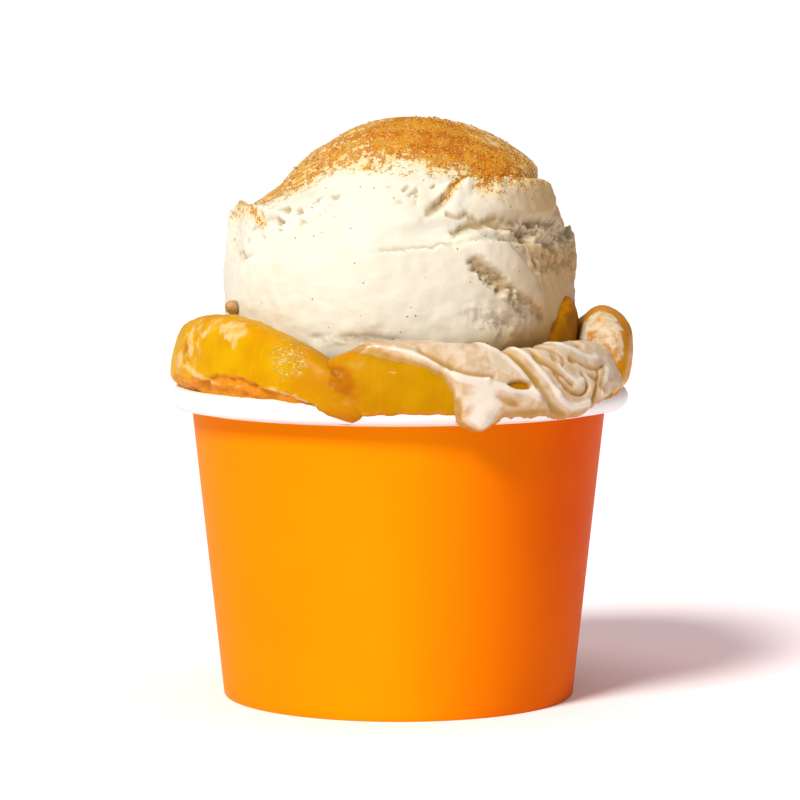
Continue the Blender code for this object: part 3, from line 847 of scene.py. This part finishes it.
def add_piece(name, mesh, looks, nodes=()):
    """A shown piece of the object that rides on its one body."""
    obj = new_object(name, mesh)
    for look in looks:
        mesh.materials.append(look)
    mesh.shade_smooth()
    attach(obj, "root")
    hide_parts(*nodes)
    return obj


def tree_of(obj):
    mesh = obj.data
    return BVHTree.FromPolygons([v.co for v in mesh.vertices], [p.vertices for p in mesh.polygons])


def wall_radius(height):
    """Outer radius of the tapered side wall."""
    return FOOT_RADIUS + (NECK_RADIUS - FOOT_RADIUS) * height / CUP_HEIGHT


def arc(middle, height, radius, first, last, steps):
    """Points along an arc, as (radius, height) pairs, with its angles in degrees."""
    turns = np.radians(np.linspace(first, last, steps + 1))
    return [(middle + radius * math.cos(t), height + radius * math.sin(t)) for t in turns]


def turned(outline, columns, lift=None):
    """A closed outline of (radius, height) pairs turned about the Z axis, rows by columns."""
    turn = np.linspace(0.0, 2.0 * math.pi, columns, endpoint=False)
    radius = np.array([point[0] for point in outline])[:, None] + np.zeros(columns)
    height = np.array([point[1] for point in outline])[:, None] + np.zeros(columns)
    if lift is not None:
        radius = radius + lift(np.degrees(turn)[None, :], height)
    return np.stack([radius * np.sin(turn), -radius * np.cos(turn), height], axis=-1)


def seam_lift(angle, height):
    """How far the overlap of the side wall stands out, with a faint waviness of the paper."""
    past = (angle - SEAM_ANGLE) % 360.0
    step = SEAM_STEP * smooth(0.0, 0.6, past) * (1.0 - smooth(2.0, SEAM_FADE, past))
    wave = 0.05 * MM * np.sin(np.radians(3.0 * angle + 40.0)) * np.sin(height / CUP_HEIGHT * math.pi)
    return step + wave


def build_cup():
    """Side wall with its rolled rim and folded foot, as one sheet. The print ends at the rim."""
    neck = RIM_HEIGHT - PRINT_BELOW_RIM
    curl = arc(RIM_MIDDLE, RIM_HEIGHT, RIM_ROLL, CURL_INSIDE, CURL_OUTSIDE, 30)
    under_curl = arc(RIM_MIDDLE, RIM_HEIGHT, RIM_ROLL - PAPER, CURL_OUTSIDE, CURL_END, 24)
    fold = FOOT_RADIUS - FOLD_DEPTH
    outside = [(wall_radius(neck) + 0.02 * MM, neck + 0.5 * MM)]
    outside += [(wall_radius(z), z) for z in np.linspace(neck, FOOT_ROUND, 30)]
    outside += arc(FOOT_RADIUS - FOOT_ROUND, FOOT_ROUND, FOOT_ROUND, -15, -90, 5)
    inside = [(fold, 0.0), (fold, FOLD_HEIGHT), (fold + PAPER, FOLD_HEIGHT), (fold + PAPER, PAPER)]
    inside += [(wall_radius(PAPER) - PAPER, PAPER), (wall_radius(neck) - PAPER, neck)]
    white = curl + under_curl
    points = turned(white + outside + inside, CUP_COLUMNS, seam_lift)
    mesh = closed_mesh("paper_cup", points, wrap_rows=True)
    looks = (white_paper("white_print", (0.93, 0.92, 0.90)), orange_print_with_painted_shade())
    cup = add_piece("paper_cup", mesh, looks, ("cup_wall",))
    rows = np.arange(len(mesh.polygons)) // CUP_COLUMNS
    printed = (rows >= len(white)) & (rows < len(white) + len(outside))
    mesh.polygons.foreach_set("material_index", printed.astype(np.int32))
    return cup


def build_base():
    """The raised floor disc with its skirt, as one sheet of board."""
    edge = FOOT_RADIUS - FLOOR_INSET
    bend = (edge - FLOOR_ROUND, FLOOR_HEIGHT - FLOOR_ROUND)
    top = [(r, FLOOR_HEIGHT) for r in np.linspace(edge - 1.5 * FLOOR_ROUND, 2.0 * MM, 8)][::-1]
    skirt = [(edge, SKIRT_FOOT), (edge - FLOOR_PAPER, SKIRT_FOOT)]
    under = [(r, FLOOR_HEIGHT - FLOOR_PAPER) for r, _ in top[::-1]]
    bends = arc(*bend, FLOOR_ROUND, 90, 0, 6), arc(*bend, FLOOR_ROUND - FLOOR_PAPER, 0, 90, 6)
    points = turned(top + bends[0] + skirt + bends[1] + under, BASE_COLUMNS)
    middles = (0.0, 0.0, FLOOR_HEIGHT), (0.0, 0.0, FLOOR_HEIGHT - FLOOR_PAPER)
    mesh = closed_mesh("cup_base", points, False, *middles)
    board = white_paper("base_board", (0.88, 0.86, 0.82))
    return add_piece("cup_base", mesh, (board,), ("cup_floor",))


def build_filling(look):
    """Chunks of peach in syrup that fill the cup: they show between the slices."""
    top_edge = wall_radius(FILLING_TOP) - PAPER - FILLING_GAP
    rings = np.linspace(0.02, 1.0, 70)[:, None] * top_edge
    turn = np.linspace(0.0, 2.0 * math.pi, FILLING_COLUMNS, endpoint=False)[None, :]
    flat = np.stack([rings * np.sin(turn), -rings * np.cos(turn), 0.0 * rings * turn], axis=-1)
    lumps = noise_of(flat.reshape(-1, 3), LUMP, 2).reshape(flat.shape[:2])
    fruit = smooth(-0.05, 0.25, lumps)
    edge = smooth(top_edge, 0.93 * top_edge, rings + 0.0 * turn)
    flat[..., 2] = SYRUP_LEVEL + (FRUIT_RISE * fruit + LUMP_RISE * lumps) * edge
    bottom = FLOOR_HEIGHT + FILLING_GAP
    heights = np.linspace(SYRUP_LEVEL - 1.0 * MM, bottom, 6)
    sides = [(wall_radius(z) - PAPER - FILLING_GAP, z) for z in heights] + [(2.0 * MM, bottom)]
    points = np.concatenate([flat, turned(sides, FILLING_COLUMNS)])
    middles = (0.0, 0.0, SYRUP_LEVEL + MM), (0.0, 0.0, bottom)
    mesh = closed_mesh("filling_in_syrup", points, False, *middles)
    share = np.zeros(len(mesh.vertices))
    share[: fruit.size] = fruit.ravel()
    put_values(mesh, "fruit", share)
    return add_piece("filling_in_syrup", mesh, (look,), ("peach_filling",))


def ring_point(angle, radius, height):
    """A point round the cup, with its angle in degrees."""
    turn = math.radians(angle)
    return Vector((radius * math.sin(turn), -radius * math.cos(turn), height))


def grid_block(steps):
    """A cube from 0 to 1 cut into a grid, with the number of cells along each axis."""
    block = bmesh.new()
    bmesh.ops.create_cube(block, size=1.0, matrix=Matrix.Translation((0.5, 0.5, 0.5)))
    for axis, cells in enumerate(steps):
        normal = Vector((0.0, 0.0, 0.0))
        normal[axis] = 1.0
        for i in range(1, cells):
            every = block.verts[:] + block.edges[:] + block.faces[:]
            bmesh.ops.bisect_plane(block, geom=every, plane_co=normal * i / cells, plane_no=normal)
    return block


def fullness(look, along):
    """How full a slice is along its length: 1 where it is fattest, less at its ends."""
    before = along < look.fat
    away = 1.0 - along / look.fat if before else (along - look.fat) / (1.0 - look.fat)
    least = look.ends[0] if before else look.ends[1]
    return least + (1.0 - least) * max(0.0, 1.0 - away ** look.blunt) ** (1.0 / look.blunt)


def along_three(values, along):
    """A value that runs smoothly through its start, middle and end."""
    first, middle, last = values
    at_first = (1.0 - along) * (1.0 - 2.0 * along)
    at_middle = 4.0 * along * (1.0 - along)
    at_last = along * (2.0 * along - 1.0)
    return first * at_first + middle * at_middle + last * at_last


def slice_point(look, along, up, through):
    """A point of a slice, 0 to 1 along it, up from the stone side to the skin, and outwards."""
    full = fullness(look, along)
    lean, tilt = math.radians(look.lean), math.radians(look.tilt)
    rise = Vector((-math.sin(lean), math.cos(lean)))
    outwards = Vector((math.cos(lean), math.sin(lean)))
    depth = look.depth * full * MM
    foot = Vector((along_three(look.reach, along), along_three(look.hem, along))) * MM
    outer_top = foot + rise * depth
    inner_top = outer_top - outwards * look.thick * (0.35 + 0.65 * full) * MM
    inner_foot = foot - Vector((math.cos(tilt), math.sin(tilt))) * look.stone * full * MM
    outer = foot.lerp(outer_top, up)
    inner = inner_foot.lerp(inner_top, up)
    side = 2.0 * through - 1.0
    place = inner.lerp(outer, through)
    place += rise * look.crown * depth * (1.0 - side * side) * up ** 4
    place += outwards * FACE_BULGE * depth * side * math.sin(math.pi * up)
    angle = look.turn[0] + (look.turn[1] - look.turn[0]) * along
    return ring_point(angle, place.x, place.y)


def slice_mesh(name, look):
    """The smooth shape of a slice, with each vertex's place along, up and through it."""
    cage = grid_block((look.steps, CUTS_UP, CUTS_THROUGH))
    crease = cage.edges.layers.float.new("crease_edge")
    layers = [cage.verts.layers.float.new(axis) for axis in AXES]
    for edge in cage.edges:
        outer = all(vert.co.z > 0.99 and abs(vert.co.y - 0.5) > 0.49 for vert in edge.verts)
        edge[crease] = EDGE_CREASE if outer else 0.0
    for vert in cage.verts:
        for layer, share in zip(layers, vert.co):
            vert[layer] = share
        vert.co = slice_point(look, *vert.co)
    coarse = bpy.data.meshes.new(name)
    cage.to_mesh(coarse)
    cage.free()
    holder = new_object(name + "_cage", coarse)
    soft = holder.modifiers.new("soft", "SUBSURF")
    soft.levels = soft.render_levels = SLICE_LEVELS
    graph = bpy.context.evaluated_depsgraph_get()
    mesh = bpy.data.meshes.new_from_object(
        holder.evaluated_get(graph), preserve_all_data_layers=True, depsgraph=graph
    )
    bpy.data.objects.remove(holder)
    mesh.name = name
    return mesh


def spots_share(points, spots):
    """How far inside any spot each point is, with a ragged edge."""
    angle = around(points)
    ragged = 0.28 * noise_of(points, 2.2 * MM, 2)
    total = np.zeros(len(points))
    for spot in spots:
        distance = oval_distance(angle, points[:, 2] / MM, spot, SLICE_RADIUS) + ragged
        total = np.maximum(total, 1.0 - smooth(0.55, 1.1, distance))
    return total


def dress_slice(name, mesh):
    """Dents, rough stone side, coats of cream, syrup, and wrinkles with painted highlights on a slice.
    """
    points, outwards = (read(mesh.vertices, field) for field in ("co", "normal"))
    along, up, through = (read(mesh.attributes[axis].data, "value", 1)[:, 0] for axis in AXES)
    look = SLICES[name]
    angle, height = around(points), points[:, 2] / MM
    ragged = noise_of(points, RAGGED, 2)
    length = math.radians(look.turn[1] - look.turn[0]) * SLICE_RADIUS
    far = STONE_INSIDE - (STONE_INSIDE - STONE_OUTSIDE) * smooth(0.45, 0.80, through)
    stone = 1.0 - smooth(0.0, 1.0, (up + 0.07 * noise_of(points, 3.0 * MM, 2)) / far)
    skin = smooth(*SKIN_EDGE, up) * smooth(0.1, 0.4, through)
    cream = spots_share(points, CREAM_SPOTS)
    fringes = strokes_lift(angle, height + 0.5 * ragged, CREAM_FRINGES)
    cream = np.maximum(cream, np.clip(fringes, 0.0, 1.0))
    cream = np.maximum(cream, BLOTCH_SHARE * spots_share(points, BLOTCHES))
    syrup = spots_share(points, SYRUP_SPOTS)
    lift = DENT_RELIEF * noise_of(points, DENT, 2)
    rough = STONE_RELIEF
    if name == "peach_left":
        edge = np.interp(angle, *zip(*STONE_EDGE)) + 0.5 * ragged
        torn = smooth(0.25, -0.25, height - edge) * window(angle, *STONE_ENDS)
        torn *= smooth(0.55, 0.75, through)
        lift -= STONE_DEPTH * torn * (1.0 + 0.5 * noise_of(points, 4.0 * MM, 2))
        stone = np.maximum(stone, torn)
        rough += TORN_RELIEF * (1.0 - smooth(*SMOOTH_END, angle))
    if name == "peach_end":
        cream = np.maximum(cream, coated_end(points, outwards))
    lift += stone * rough * (crumbs_of(points, 1.8 * MM, 2) - 0.5)
    lift += cream * (0.25 + 0.35 * (crumbs_of(points, 1.6 * MM, 2) - 0.5))
    lift += syrup * (0.45 * (pebbles_of(points * SYRUP_STRETCH, 3.0 * MM) - 0.9))
    if name == "peach_left":
        # The syrup mask also darkens the left slice towards its right end
        syrup = np.maximum(syrup, DARK_END_SHARE * smooth(*DARK_END_ANGLES, angle))
    masks = {"stone": stone, "skin": skin, "cream": cream, "syrup": syrup}
    masks["wrinkle_and_highlight"] = spots_share(points, WRINKLES_AND_HIGHLIGHTS)
    masks["grain"] = np.stack([along, up, through], axis=1)
    masks["grain"] *= np.array([length, look.depth, look.thick]) * MM
    points += outwards * (lift * MM)[:, None]
    mesh.vertices.foreach_set("co", points.astype(np.float32).ravel())
    mesh.update()
    for mask, values in masks.items():
        put_values(mesh, mask, values)
    for axis in AXES:
        mesh.attributes.remove(mesh.attributes[axis])


def coated_end(points, outwards):
    """The coat of cream on the end of the last slice, inside its amber edge."""
    turn = math.radians(COAT_TILT)
    x, z = points[:, 0] / MM - COAT_MIDDLE[0], points[:, 2] / MM - COAT_MIDDLE[1]
    across = (x * math.cos(turn) + z * math.sin(turn)) / COAT_SIZE[0]
    rise = (z * math.cos(turn) - x * math.sin(turn)) / COAT_SIZE[1]
    distance = np.hypot(across, rise) + 0.16 * noise_of(points, 2.2 * MM, 2)
    windows = 1.0 - COAT_WINDOWS * smooth(0.12, 0.42, noise_of(points, 3.2 * MM, 2))
    return windows * (1.0 - smooth(0.86, 1.04, distance)) * smooth(0.1, 0.4, -outwards[:, 1])


def build_slices():
    golden = peach_look("peach_flesh", (0.62, 0.335, 0.0012), (0.56, 0.255, 0.0012))
    honey = peach_look("peach_honey", (0.54, 0.260, 0.0012), (0.47, 0.195, 0.0010))
    # The chunk's darker flesh is partly syrup and partly painted shade, as it stands in shade against
    # the scoop
    amber = peach_look("peach_amber_syrup_and_shade", (0.40, 0.165, 0.0040), (0.24, 0.080, 0.0020))
    coated = peach_look(
        "peach_coated", (0.60, 0.265, 0.0012), (0.50, 0.175, 0.0012),
        ((0.60, 0.45, 0.25), (0.67, 0.57, 0.42)), 0.92
    )
    looks = {"peach_front": honey, "peach_right": honey, "peach_end": coated, "peach_chunk": amber}
    made = {}
    for name in SLICES:
        mesh = slice_mesh(name.replace("peach", "slice"), SLICES[name])
        dress_slice(name, mesh)
        made[name] = add_piece(mesh.name, mesh, (looks.get(name, golden),), (name,))
    return made


def blurred(grid, times):
    """A grid softened by averaging neighbours."""
    for _ in range(times):
        wide = np.pad(grid, 1, mode="edge")
        grid = (wide[:-2, 1:-1] + wide[2:, 1:-1] + wide[1:-1, :-2] + wide[1:-1, 2:] + 2.0 * grid) / 6.0
    return grid


def surface_reach(trees, angle, tilt):
    """How far from the cream's inner ring the surface under it is, at an angle and a tilt."""
    radius, height = CREAM_CORE
    core = ring_point(angle, radius, height)
    ray = ring_point(angle, math.cos(tilt), math.sin(tilt))
    hits = [tree.ray_cast(core + ray * CREAM_FAR, -ray, CREAM_FAR) for tree in trees]
    reach = max([CREAM_FAR - hit[3] for hit in hits if hit[3] is not None] or [0.0])
    past_rim = (RIM_RADIUS - radius) / math.cos(tilt)
    below_rim = height + past_rim * math.sin(tilt) < RIM_HEIGHT
    return max(reach, past_rim) if below_rim else reach


def build_cream(slices, cup):
    """Melted cream over two slices, with ridges, grooves, a hole and a drip over the rim."""
    trees = [tree_of(slices[name]) for name in CREAM_ON] + [tree_of(cup)]
    turns = np.linspace(*CREAM_ANGLES, CREAM_STEPS[0])
    tilts = np.radians(np.linspace(*CREAM_TILTS, CREAM_STEPS[1]))
    reach = np.array([[surface_reach(trees, angle, tilt) for tilt in tilts] for angle in turns])
    draped = blurred(np.maximum(reach, blurred(reach, 10)), 3)
    height = (CREAM_CORE[1] + draped * np.sin(tilts)) / MM
    outwards = (CREAM_CORE[0] + draped * np.cos(tilts)) / MM
    angle = turns[:, None] + 0.0 * height
    arc_mm = np.radians(angle) * SLICE_RADIUS
    flat = np.stack([arc_mm, height, outwards], axis=-1).reshape(-1, 3)
    ragged = (0.45 * noise_of(flat, FILM_WAVE, 2)).reshape(height.shape)

    stops = np.interp(turns, *zip(*CREAM_LOWER))
    lower = blurred(stops[:, None], 3)
    slope = np.gradient(lower[:, 0], arc_mm[:, 0])[:, None]
    inside = (height - lower) / np.sqrt(1.0 + slope ** 2) + ragged
    ends = np.minimum(arc_mm - arc_mm[0, 0], arc_mm[-1, 0] - arc_mm) + 2.0 * ragged - 0.3
    back = (CREAM_TILTS[1] - np.degrees(tilts))[None, :] * 0.25 - 0.2 + ragged
    inside = np.minimum.reduce([inside, ends, back])
    body = CREAM_THICK * (1.0 - np.exp(-np.maximum(inside, 0.0) / CREAM_EDGE))
    body *= CREAM_LEAST + (1.0 - CREAM_LEAST) * smooth(*CREAM_LEFT, angle)
    body += strokes_lift(angle, height, CREAM_STROKES) * smooth(0.0, 1.0, inside)
    drops = ovals_lift(angle, height, (DROP, TIP, *PATCHES))
    body += drops * smooth(-0.2, 0.8, inside)
    waves = noise_of(flat * FILM_STRETCH, FILM_WAVE, 2).reshape(height.shape)
    body += FILM_WAVES * waves * smooth(0.0, 1.0, inside)
    body = np.maximum(body, FILM_LEAST * smooth(0.0, 0.5, inside))
    body += ovals_lift(angle, height, (HOLE,))
    body = np.where(inside > 0.0, body, np.maximum(1.4 * inside, -0.6))
    outer = draped + body * MM
    turn = np.radians(turns)[:, None]
    across = CREAM_CORE[0] + outer * np.cos(tilts)
    rise = CREAM_CORE[1] + outer * np.sin(tilts)
    corners, faces = woven(np.stack([across * np.sin(turn), -across * np.cos(turn), rise], axis=-1))
    shown = body.ravel() > CREAM_END
    mesh = mesh_of("cream_sheet", corners, [face for face in faces if any(shown[i] for i in face)])
    milky = body / CREAM_THICK * (MILK_LEAST + (1.0 - MILK_LEAST) * smooth(*MILK_LEFT, angle))
    put_values(mesh, "body", milky.ravel())
    put_values(mesh, "flow", flat * MM)
    with edited(mesh) as work:
        loose = [vert for vert in work.verts if not vert.link_faces]
        bmesh.ops.delete(work, geom=loose, context="VERTS")
    sheet = add_piece("cream_sheet", mesh, (cream_look(),), ("melted_cream",))
    shell = sheet.modifiers.new("shell", "SOLIDIFY")
    shell.thickness = CREAM_SHELL
    shell.offset = -1.0
    return sheet


def ledge_lift(angle, height, ledge):
    """Lift in mm of one torn edge, and how far its lip is drawn up over what is above it."""
    arc_mm = arc_from(angle, ledge.middle, SCOOP_RADIUS / MM)
    line = ledge.level + ledge.slope * arc_mm + ledge.bow * (arc_mm / ledge.half) ** 2
    away = ledge.side * (height - line)
    at_ends = smooth(0.0, LEDGE_END, ledge.half - np.abs(arc_mm))
    step = smooth(-0.5 * LEDGE_EDGE, 0.5 * LEDGE_EDGE, away)
    lift = ledge.lift * at_ends * step * np.exp(-np.maximum(away, 0.0) / ledge.fade)
    lip = lift * np.exp(-((away - 0.3) / 0.9) ** 2) * max(0.0, -ledge.side)
    return lift, lip


def scoop_surface(directions):
    """Points of the scoop's surface for directions from its centre, and its masks there, painted shade
    among them.
    """
    n = directions / np.linalg.norm(directions, axis=1)[:, None]
    above = n[:, 2] > 0.0
    across = np.hypot(n[:, 0], n[:, 1]) / SCOOP_RADIUS
    rise = np.abs(n[:, 2]) / np.where(above, SCOOP_TOP - SCOOP_CENTRE, SCOOP_CENTRE - SCOOP_FOOT)
    power = np.where(above, ROUND_ABOVE, ROUND_BELOW)
    points = n * ((across ** power + rise ** power) ** (-1.0 / power))[:, None]
    angle = around(n)
    height = (points[:, 2] + SCOOP_CENTRE) / MM
    radius = SCOOP_RADIUS / MM
    jag = noise_of(points, RAGGED, 3)
    crumbled = ovals_lift(angle, height, TORN, radius)
    torn = crumbled + ovals_lift(angle + 4.0 * jag, height + 2.0 * jag, FINE_TORN, radius)
    torn = np.minimum(torn, TORN_MOST)
    rough = torn > 0.0
    detail = np.zeros(len(points))
    lumps = pebbles_of(points[rough] * LUMP_STRETCH, LUMP_SIZE) - 0.6
    flakes = pebbles_of(points[rough] * FLAKE_STRETCH, FLAKE) - 0.6
    detail[rough] = torn[rough] * (LUMP_SHARE * lumps + FLAKE_SHARE * flakes)
    detail += strokes_lift(angle + 2.2 * jag, height + 0.9 * jag, SCOOP_STROKES, radius)
    pitted = ovals_lift(angle, height, PITTED, radius)
    detail -= pitted * PIT_DEPTH * smooth(*PIT_EDGE, noise_of(points, PIT_SIZE, 2))
    lift = (SMOOTH_RELIEF + TORN_SWELL * torn) * (crumbs_of(points, CRUMB, 2) - 0.5)
    lift += SWELL_RELIEF * noise_of(points, SWELL, 1) + detail
    lift += DRAG_RELIEF * noise_of(points * DRAG_STRETCH, DRAG_SIZE, 2)
    lips = np.zeros(len(points))
    for ledge in LEDGES:
        raised, lip = ledge_lift(angle, height + LEDGE_JAG * jag, ledge)
        lift += raised
        lips += lip
    lift += ovals_lift(angle, height, LOBES, radius)

    edge = np.interp(angle, *zip(*CINNAMON_EDGE))
    patchy = 1.8 * noise_of(points, 5.0 * MM, 2)
    strayed = angle + 18.0 * noise_of(points, 6.0 * MM, 2)
    cover = np.interp(strayed, *zip(*CINNAMON_COVER))
    cinnamon = smooth(*CINNAMON_FADE, height - edge + patchy) * cover
    in_notch = strokes_lift(angle, height, (NOTCH_STAIN,), radius) * smooth(*NOTCH_FOOT, height)
    stain = strokes_lift(angle, height, (LIP_STAIN,), radius)
    cinnamon = np.maximum.reduce([cinnamon, in_notch, stain])
    lift += cinnamon * POWDER_RELIEF * (crumbs_of(points, POWDER_SIZE, 2) - 0.5)
    # Painted shade on the side away from the key light, lighter on the torn band as painted light, and
    # at the foot, there partly a syrup stain
    foot = smooth(*FOOT_SHADE_AND_STAIN_HEIGHTS, height) * window(angle, *FOOT_SIDE)
    less_shade_on_torn = 1.0 - 0.45 * np.clip(crumbled, 0.0, 1.0)
    painted_shade_and_foot_stain = np.clip(0.90 * window(angle, *SHADED_SIDE) * less_shade_on_torn + 0.40 * foot, 0.0, 1.0)
    # Painted shade in creases and cracks, and in the gap between the scoop's foot and the slices
    crease_and_gap_shade = np.clip(-(detail + 0.12) / 1.1, 0.0, 0.75)
    gap_shade = smooth(*GAP_SHADE_HEIGHTS, height) * window(angle, *GAP_SHADE_SIDE)
    crease_and_gap_shade = np.maximum(crease_and_gap_shade, 0.85 * gap_shade)

    points += n * (lift * MM)[:, None]
    points[:, 2] += OVERHANG * lips * MM
    lean = CAP_LEAN * np.sin(np.radians(angle))
    points[:, 0] += CAP_SHIFT * smooth(CAP_FROM, CAP_TO, height - lean)
    points[:, 2] += SCOOP_CENTRE
    torn = np.clip(0.55 * torn, 0.0, 1.0)
    return points, {"cinnamon": cinnamon, "painted_shade_and_foot_stain": painted_shade_and_foot_stain, "crease_and_gap_shade": crease_and_gap_shade, "torn": torn}


def build_scoop():
    """The scoop, and how much cinnamon lies on each of its vertices."""
    left = np.arange(LEFT_FROM, TORN_FROM, LEFT_STEP)
    torn = np.arange(TORN_FROM, TORN_TO, TORN_STEP)
    rest = np.arange(TORN_TO, 360.0 + LEFT_FROM, BACK_STEP)
    turn = np.radians(np.concatenate([left, torn, rest]))[None, :]
    polar = np.linspace(0.012, SCOOP_LOWEST, SCOOP_ROWS)[:, None]
    flat = np.sin(polar)
    level = np.cos(polar) + 0.0 * turn
    directions = np.stack([flat * np.sin(turn), -flat * np.cos(turn), level], axis=-1)
    surface, masks = scoop_surface(directions.reshape(-1, 3))
    points = surface.reshape(directions.shape)
    top, bottom = points[0].mean(axis=0), points[-1].mean(axis=0)
    mesh = closed_mesh("ice_cream_scoop", points, False, top, bottom)
    for name, values in masks.items():
        put_values(mesh, name, np.append(values, (values[0], values[-1])))
    scoop = add_piece("ice_cream_scoop", mesh, (vanilla_look(),), ("vanilla_scoop",))
    return scoop, masks["cinnamon"]


def build_grains(scoop, cinnamon):
    """Loose grains of cinnamon sugar on the dusted part of the scoop."""
    random = np.random.default_rng(SEED)
    mesh = scoop.data
    weights = np.clip(np.append(cinnamon, (0.0, 0.0)) - 0.25, 0.0, 1.0)
    weights *= np.hypot(*read(mesh.vertices, "co")[:, :2].T)
    chosen = random.choice(len(weights), GRAIN_COUNT, p=weights / weights.sum())
    made = bpy.data.meshes.new("cinnamon_grains")
    with edited(made) as grains:
        for i in chosen:
            vert = mesh.vertices[int(i)]
            size = random.uniform(*GRAIN_SIZE)
            spin = Matrix.Rotation(random.uniform(0, math.tau), 4, Vector(random.normal(size=3)))
            stretch = Matrix.Diagonal((*random.uniform(*GRAIN_STRETCH, 3), 1.0))
            place = Matrix.Translation(vert.co + vert.normal * size * GRAIN_RISE) @ spin @ stretch
            bmesh.ops.create_icosphere(grains, subdivisions=1, radius=size, matrix=place)
    return add_piece("cinnamon_grains", made, (powder_look(),))


def build_bead(scoop):
    """A small sugar bead that sticks to the scoop's side."""
    outside = ring_point(BEAD_ANGLE, 2.0 * SCOOP_RADIUS, BEAD_LEVEL)
    inwards = ring_point(BEAD_ANGLE, -1.0, 0.0)
    hit = tree_of(scoop).ray_cast(outside, inwards)
    middle = hit[0] - inwards * (1.0 - BEAD_SUNK) * BEAD_SIZE
    mesh = bpy.data.meshes.new("sugar_bead")
    with edited(mesh) as ball:
        bmesh.ops.create_icosphere(ball, subdivisions=4, radius=1.0)
        for vert in ball.verts:
            vert.co *= BEAD_SIZE * (1.0 + 0.12 * noise.fractal(vert.co * 1.6, 1.0, 2.0, 2))
            vert.co += middle
    return add_piece("sugar_bead", mesh, (bead_look(),))


def build_floor():
    """A white floor that glows as painted light, so that it meets the white backdrop unseen, with a
    pink tint as painted bounce light in its shadow and a weaker glow near the cup's foot as painted
    contact shade.
    """
    corners = [(FLOOR_SIZE * x, FLOOR_SIZE * y, 0) for x, y in ((-1, -1), (1, -1), (1, 1), (-1, 1))]
    mesh = mesh_of("floor", corners, [(0, 1, 2, 3)])
    floor = new_object("floor", mesh)
    look = Look("white_floor", roughness=0.7)
    tone = look.noise(40.0, 2.0)
    look.set("Base Color", look.mix(tone, (0.955, 0.95, 0.952), (0.965, 0.96, 0.962)))
    look.set("Specular IOR Level", 0.0)
    # Painted light: a pink glow, weaker near the cup's foot as painted contact shade
    look.set("Emission Color", GLOW_TINT)
    where = look.add("TexCoord", "Object", {})
    away = look.add("VectorMath", "Value", {0: where}, operation="LENGTH")
    look.set("Emission Strength", look.step(away, *GLOW_REACH, GLOW_BY_FOOT, FLOOR_GLOW))
    mesh.materials.append(look.material)


def build_lights():
    """A large soft key light from the left front, and an even white fill."""
    sun = bpy.data.lights.new("key", "SUN")
    sun.energy = KEY_STRENGTH
    sun.angle = KEY_SIZE
    sun.color = KEY_TINT
    key = new_object("key", sun)
    key.rotation_euler = Vector(KEY_DIRECTION).to_track_quat("-Z", "Y").to_euler()

    world = bpy.data.worlds.new("studio")
    bpy.context.scene.world = world
    world.use_nodes = True
    tree = world.node_tree
    background = tree.nodes["Background"]
    path = tree.nodes.new("ShaderNodeLightPath")
    reach = tree.nodes.new("ShaderNodeMapRange")
    reach.inputs["To Min"].default_value = FILL_STRENGTH
    reach.inputs["To Max"].default_value = BACKDROP_STRENGTH
    tree.links.new(path.outputs["Is Camera Ray"], reach.inputs["Value"])
    tree.links.new(reach.outputs["Result"], background.inputs["Strength"])
    background.inputs["Color"].default_value = (1.0, 1.0, 1.0, 1.0)


def build_camera():
    camera = bpy.data.cameras.new("camera")
    camera.lens = CAMERA_LENS
    camera.sensor_width = CAMERA_SENSOR
    holder = new_object("camera", camera)
    holder.location = CAMERA_PLACE
    holder.rotation_euler = (math.pi / 2 - CAMERA_PITCH, 0.0, 0.0)
    bpy.context.scene.camera = holder


noise.seed_set(SEED)
bpy.context.scene.view_settings.view_transform = "Standard"
build_camera()
build_floor()
build_lights()
paper_cup = build_cup()
build_base()
build_filling(syrup_look())
peach_slices = build_slices()
build_cream(peach_slices, paper_cup)
scoop_piece, dusting = build_scoop()
build_grains(scoop_piece, dusting)
build_bead(scoop_piece)

bpy.context.view_layer.update()
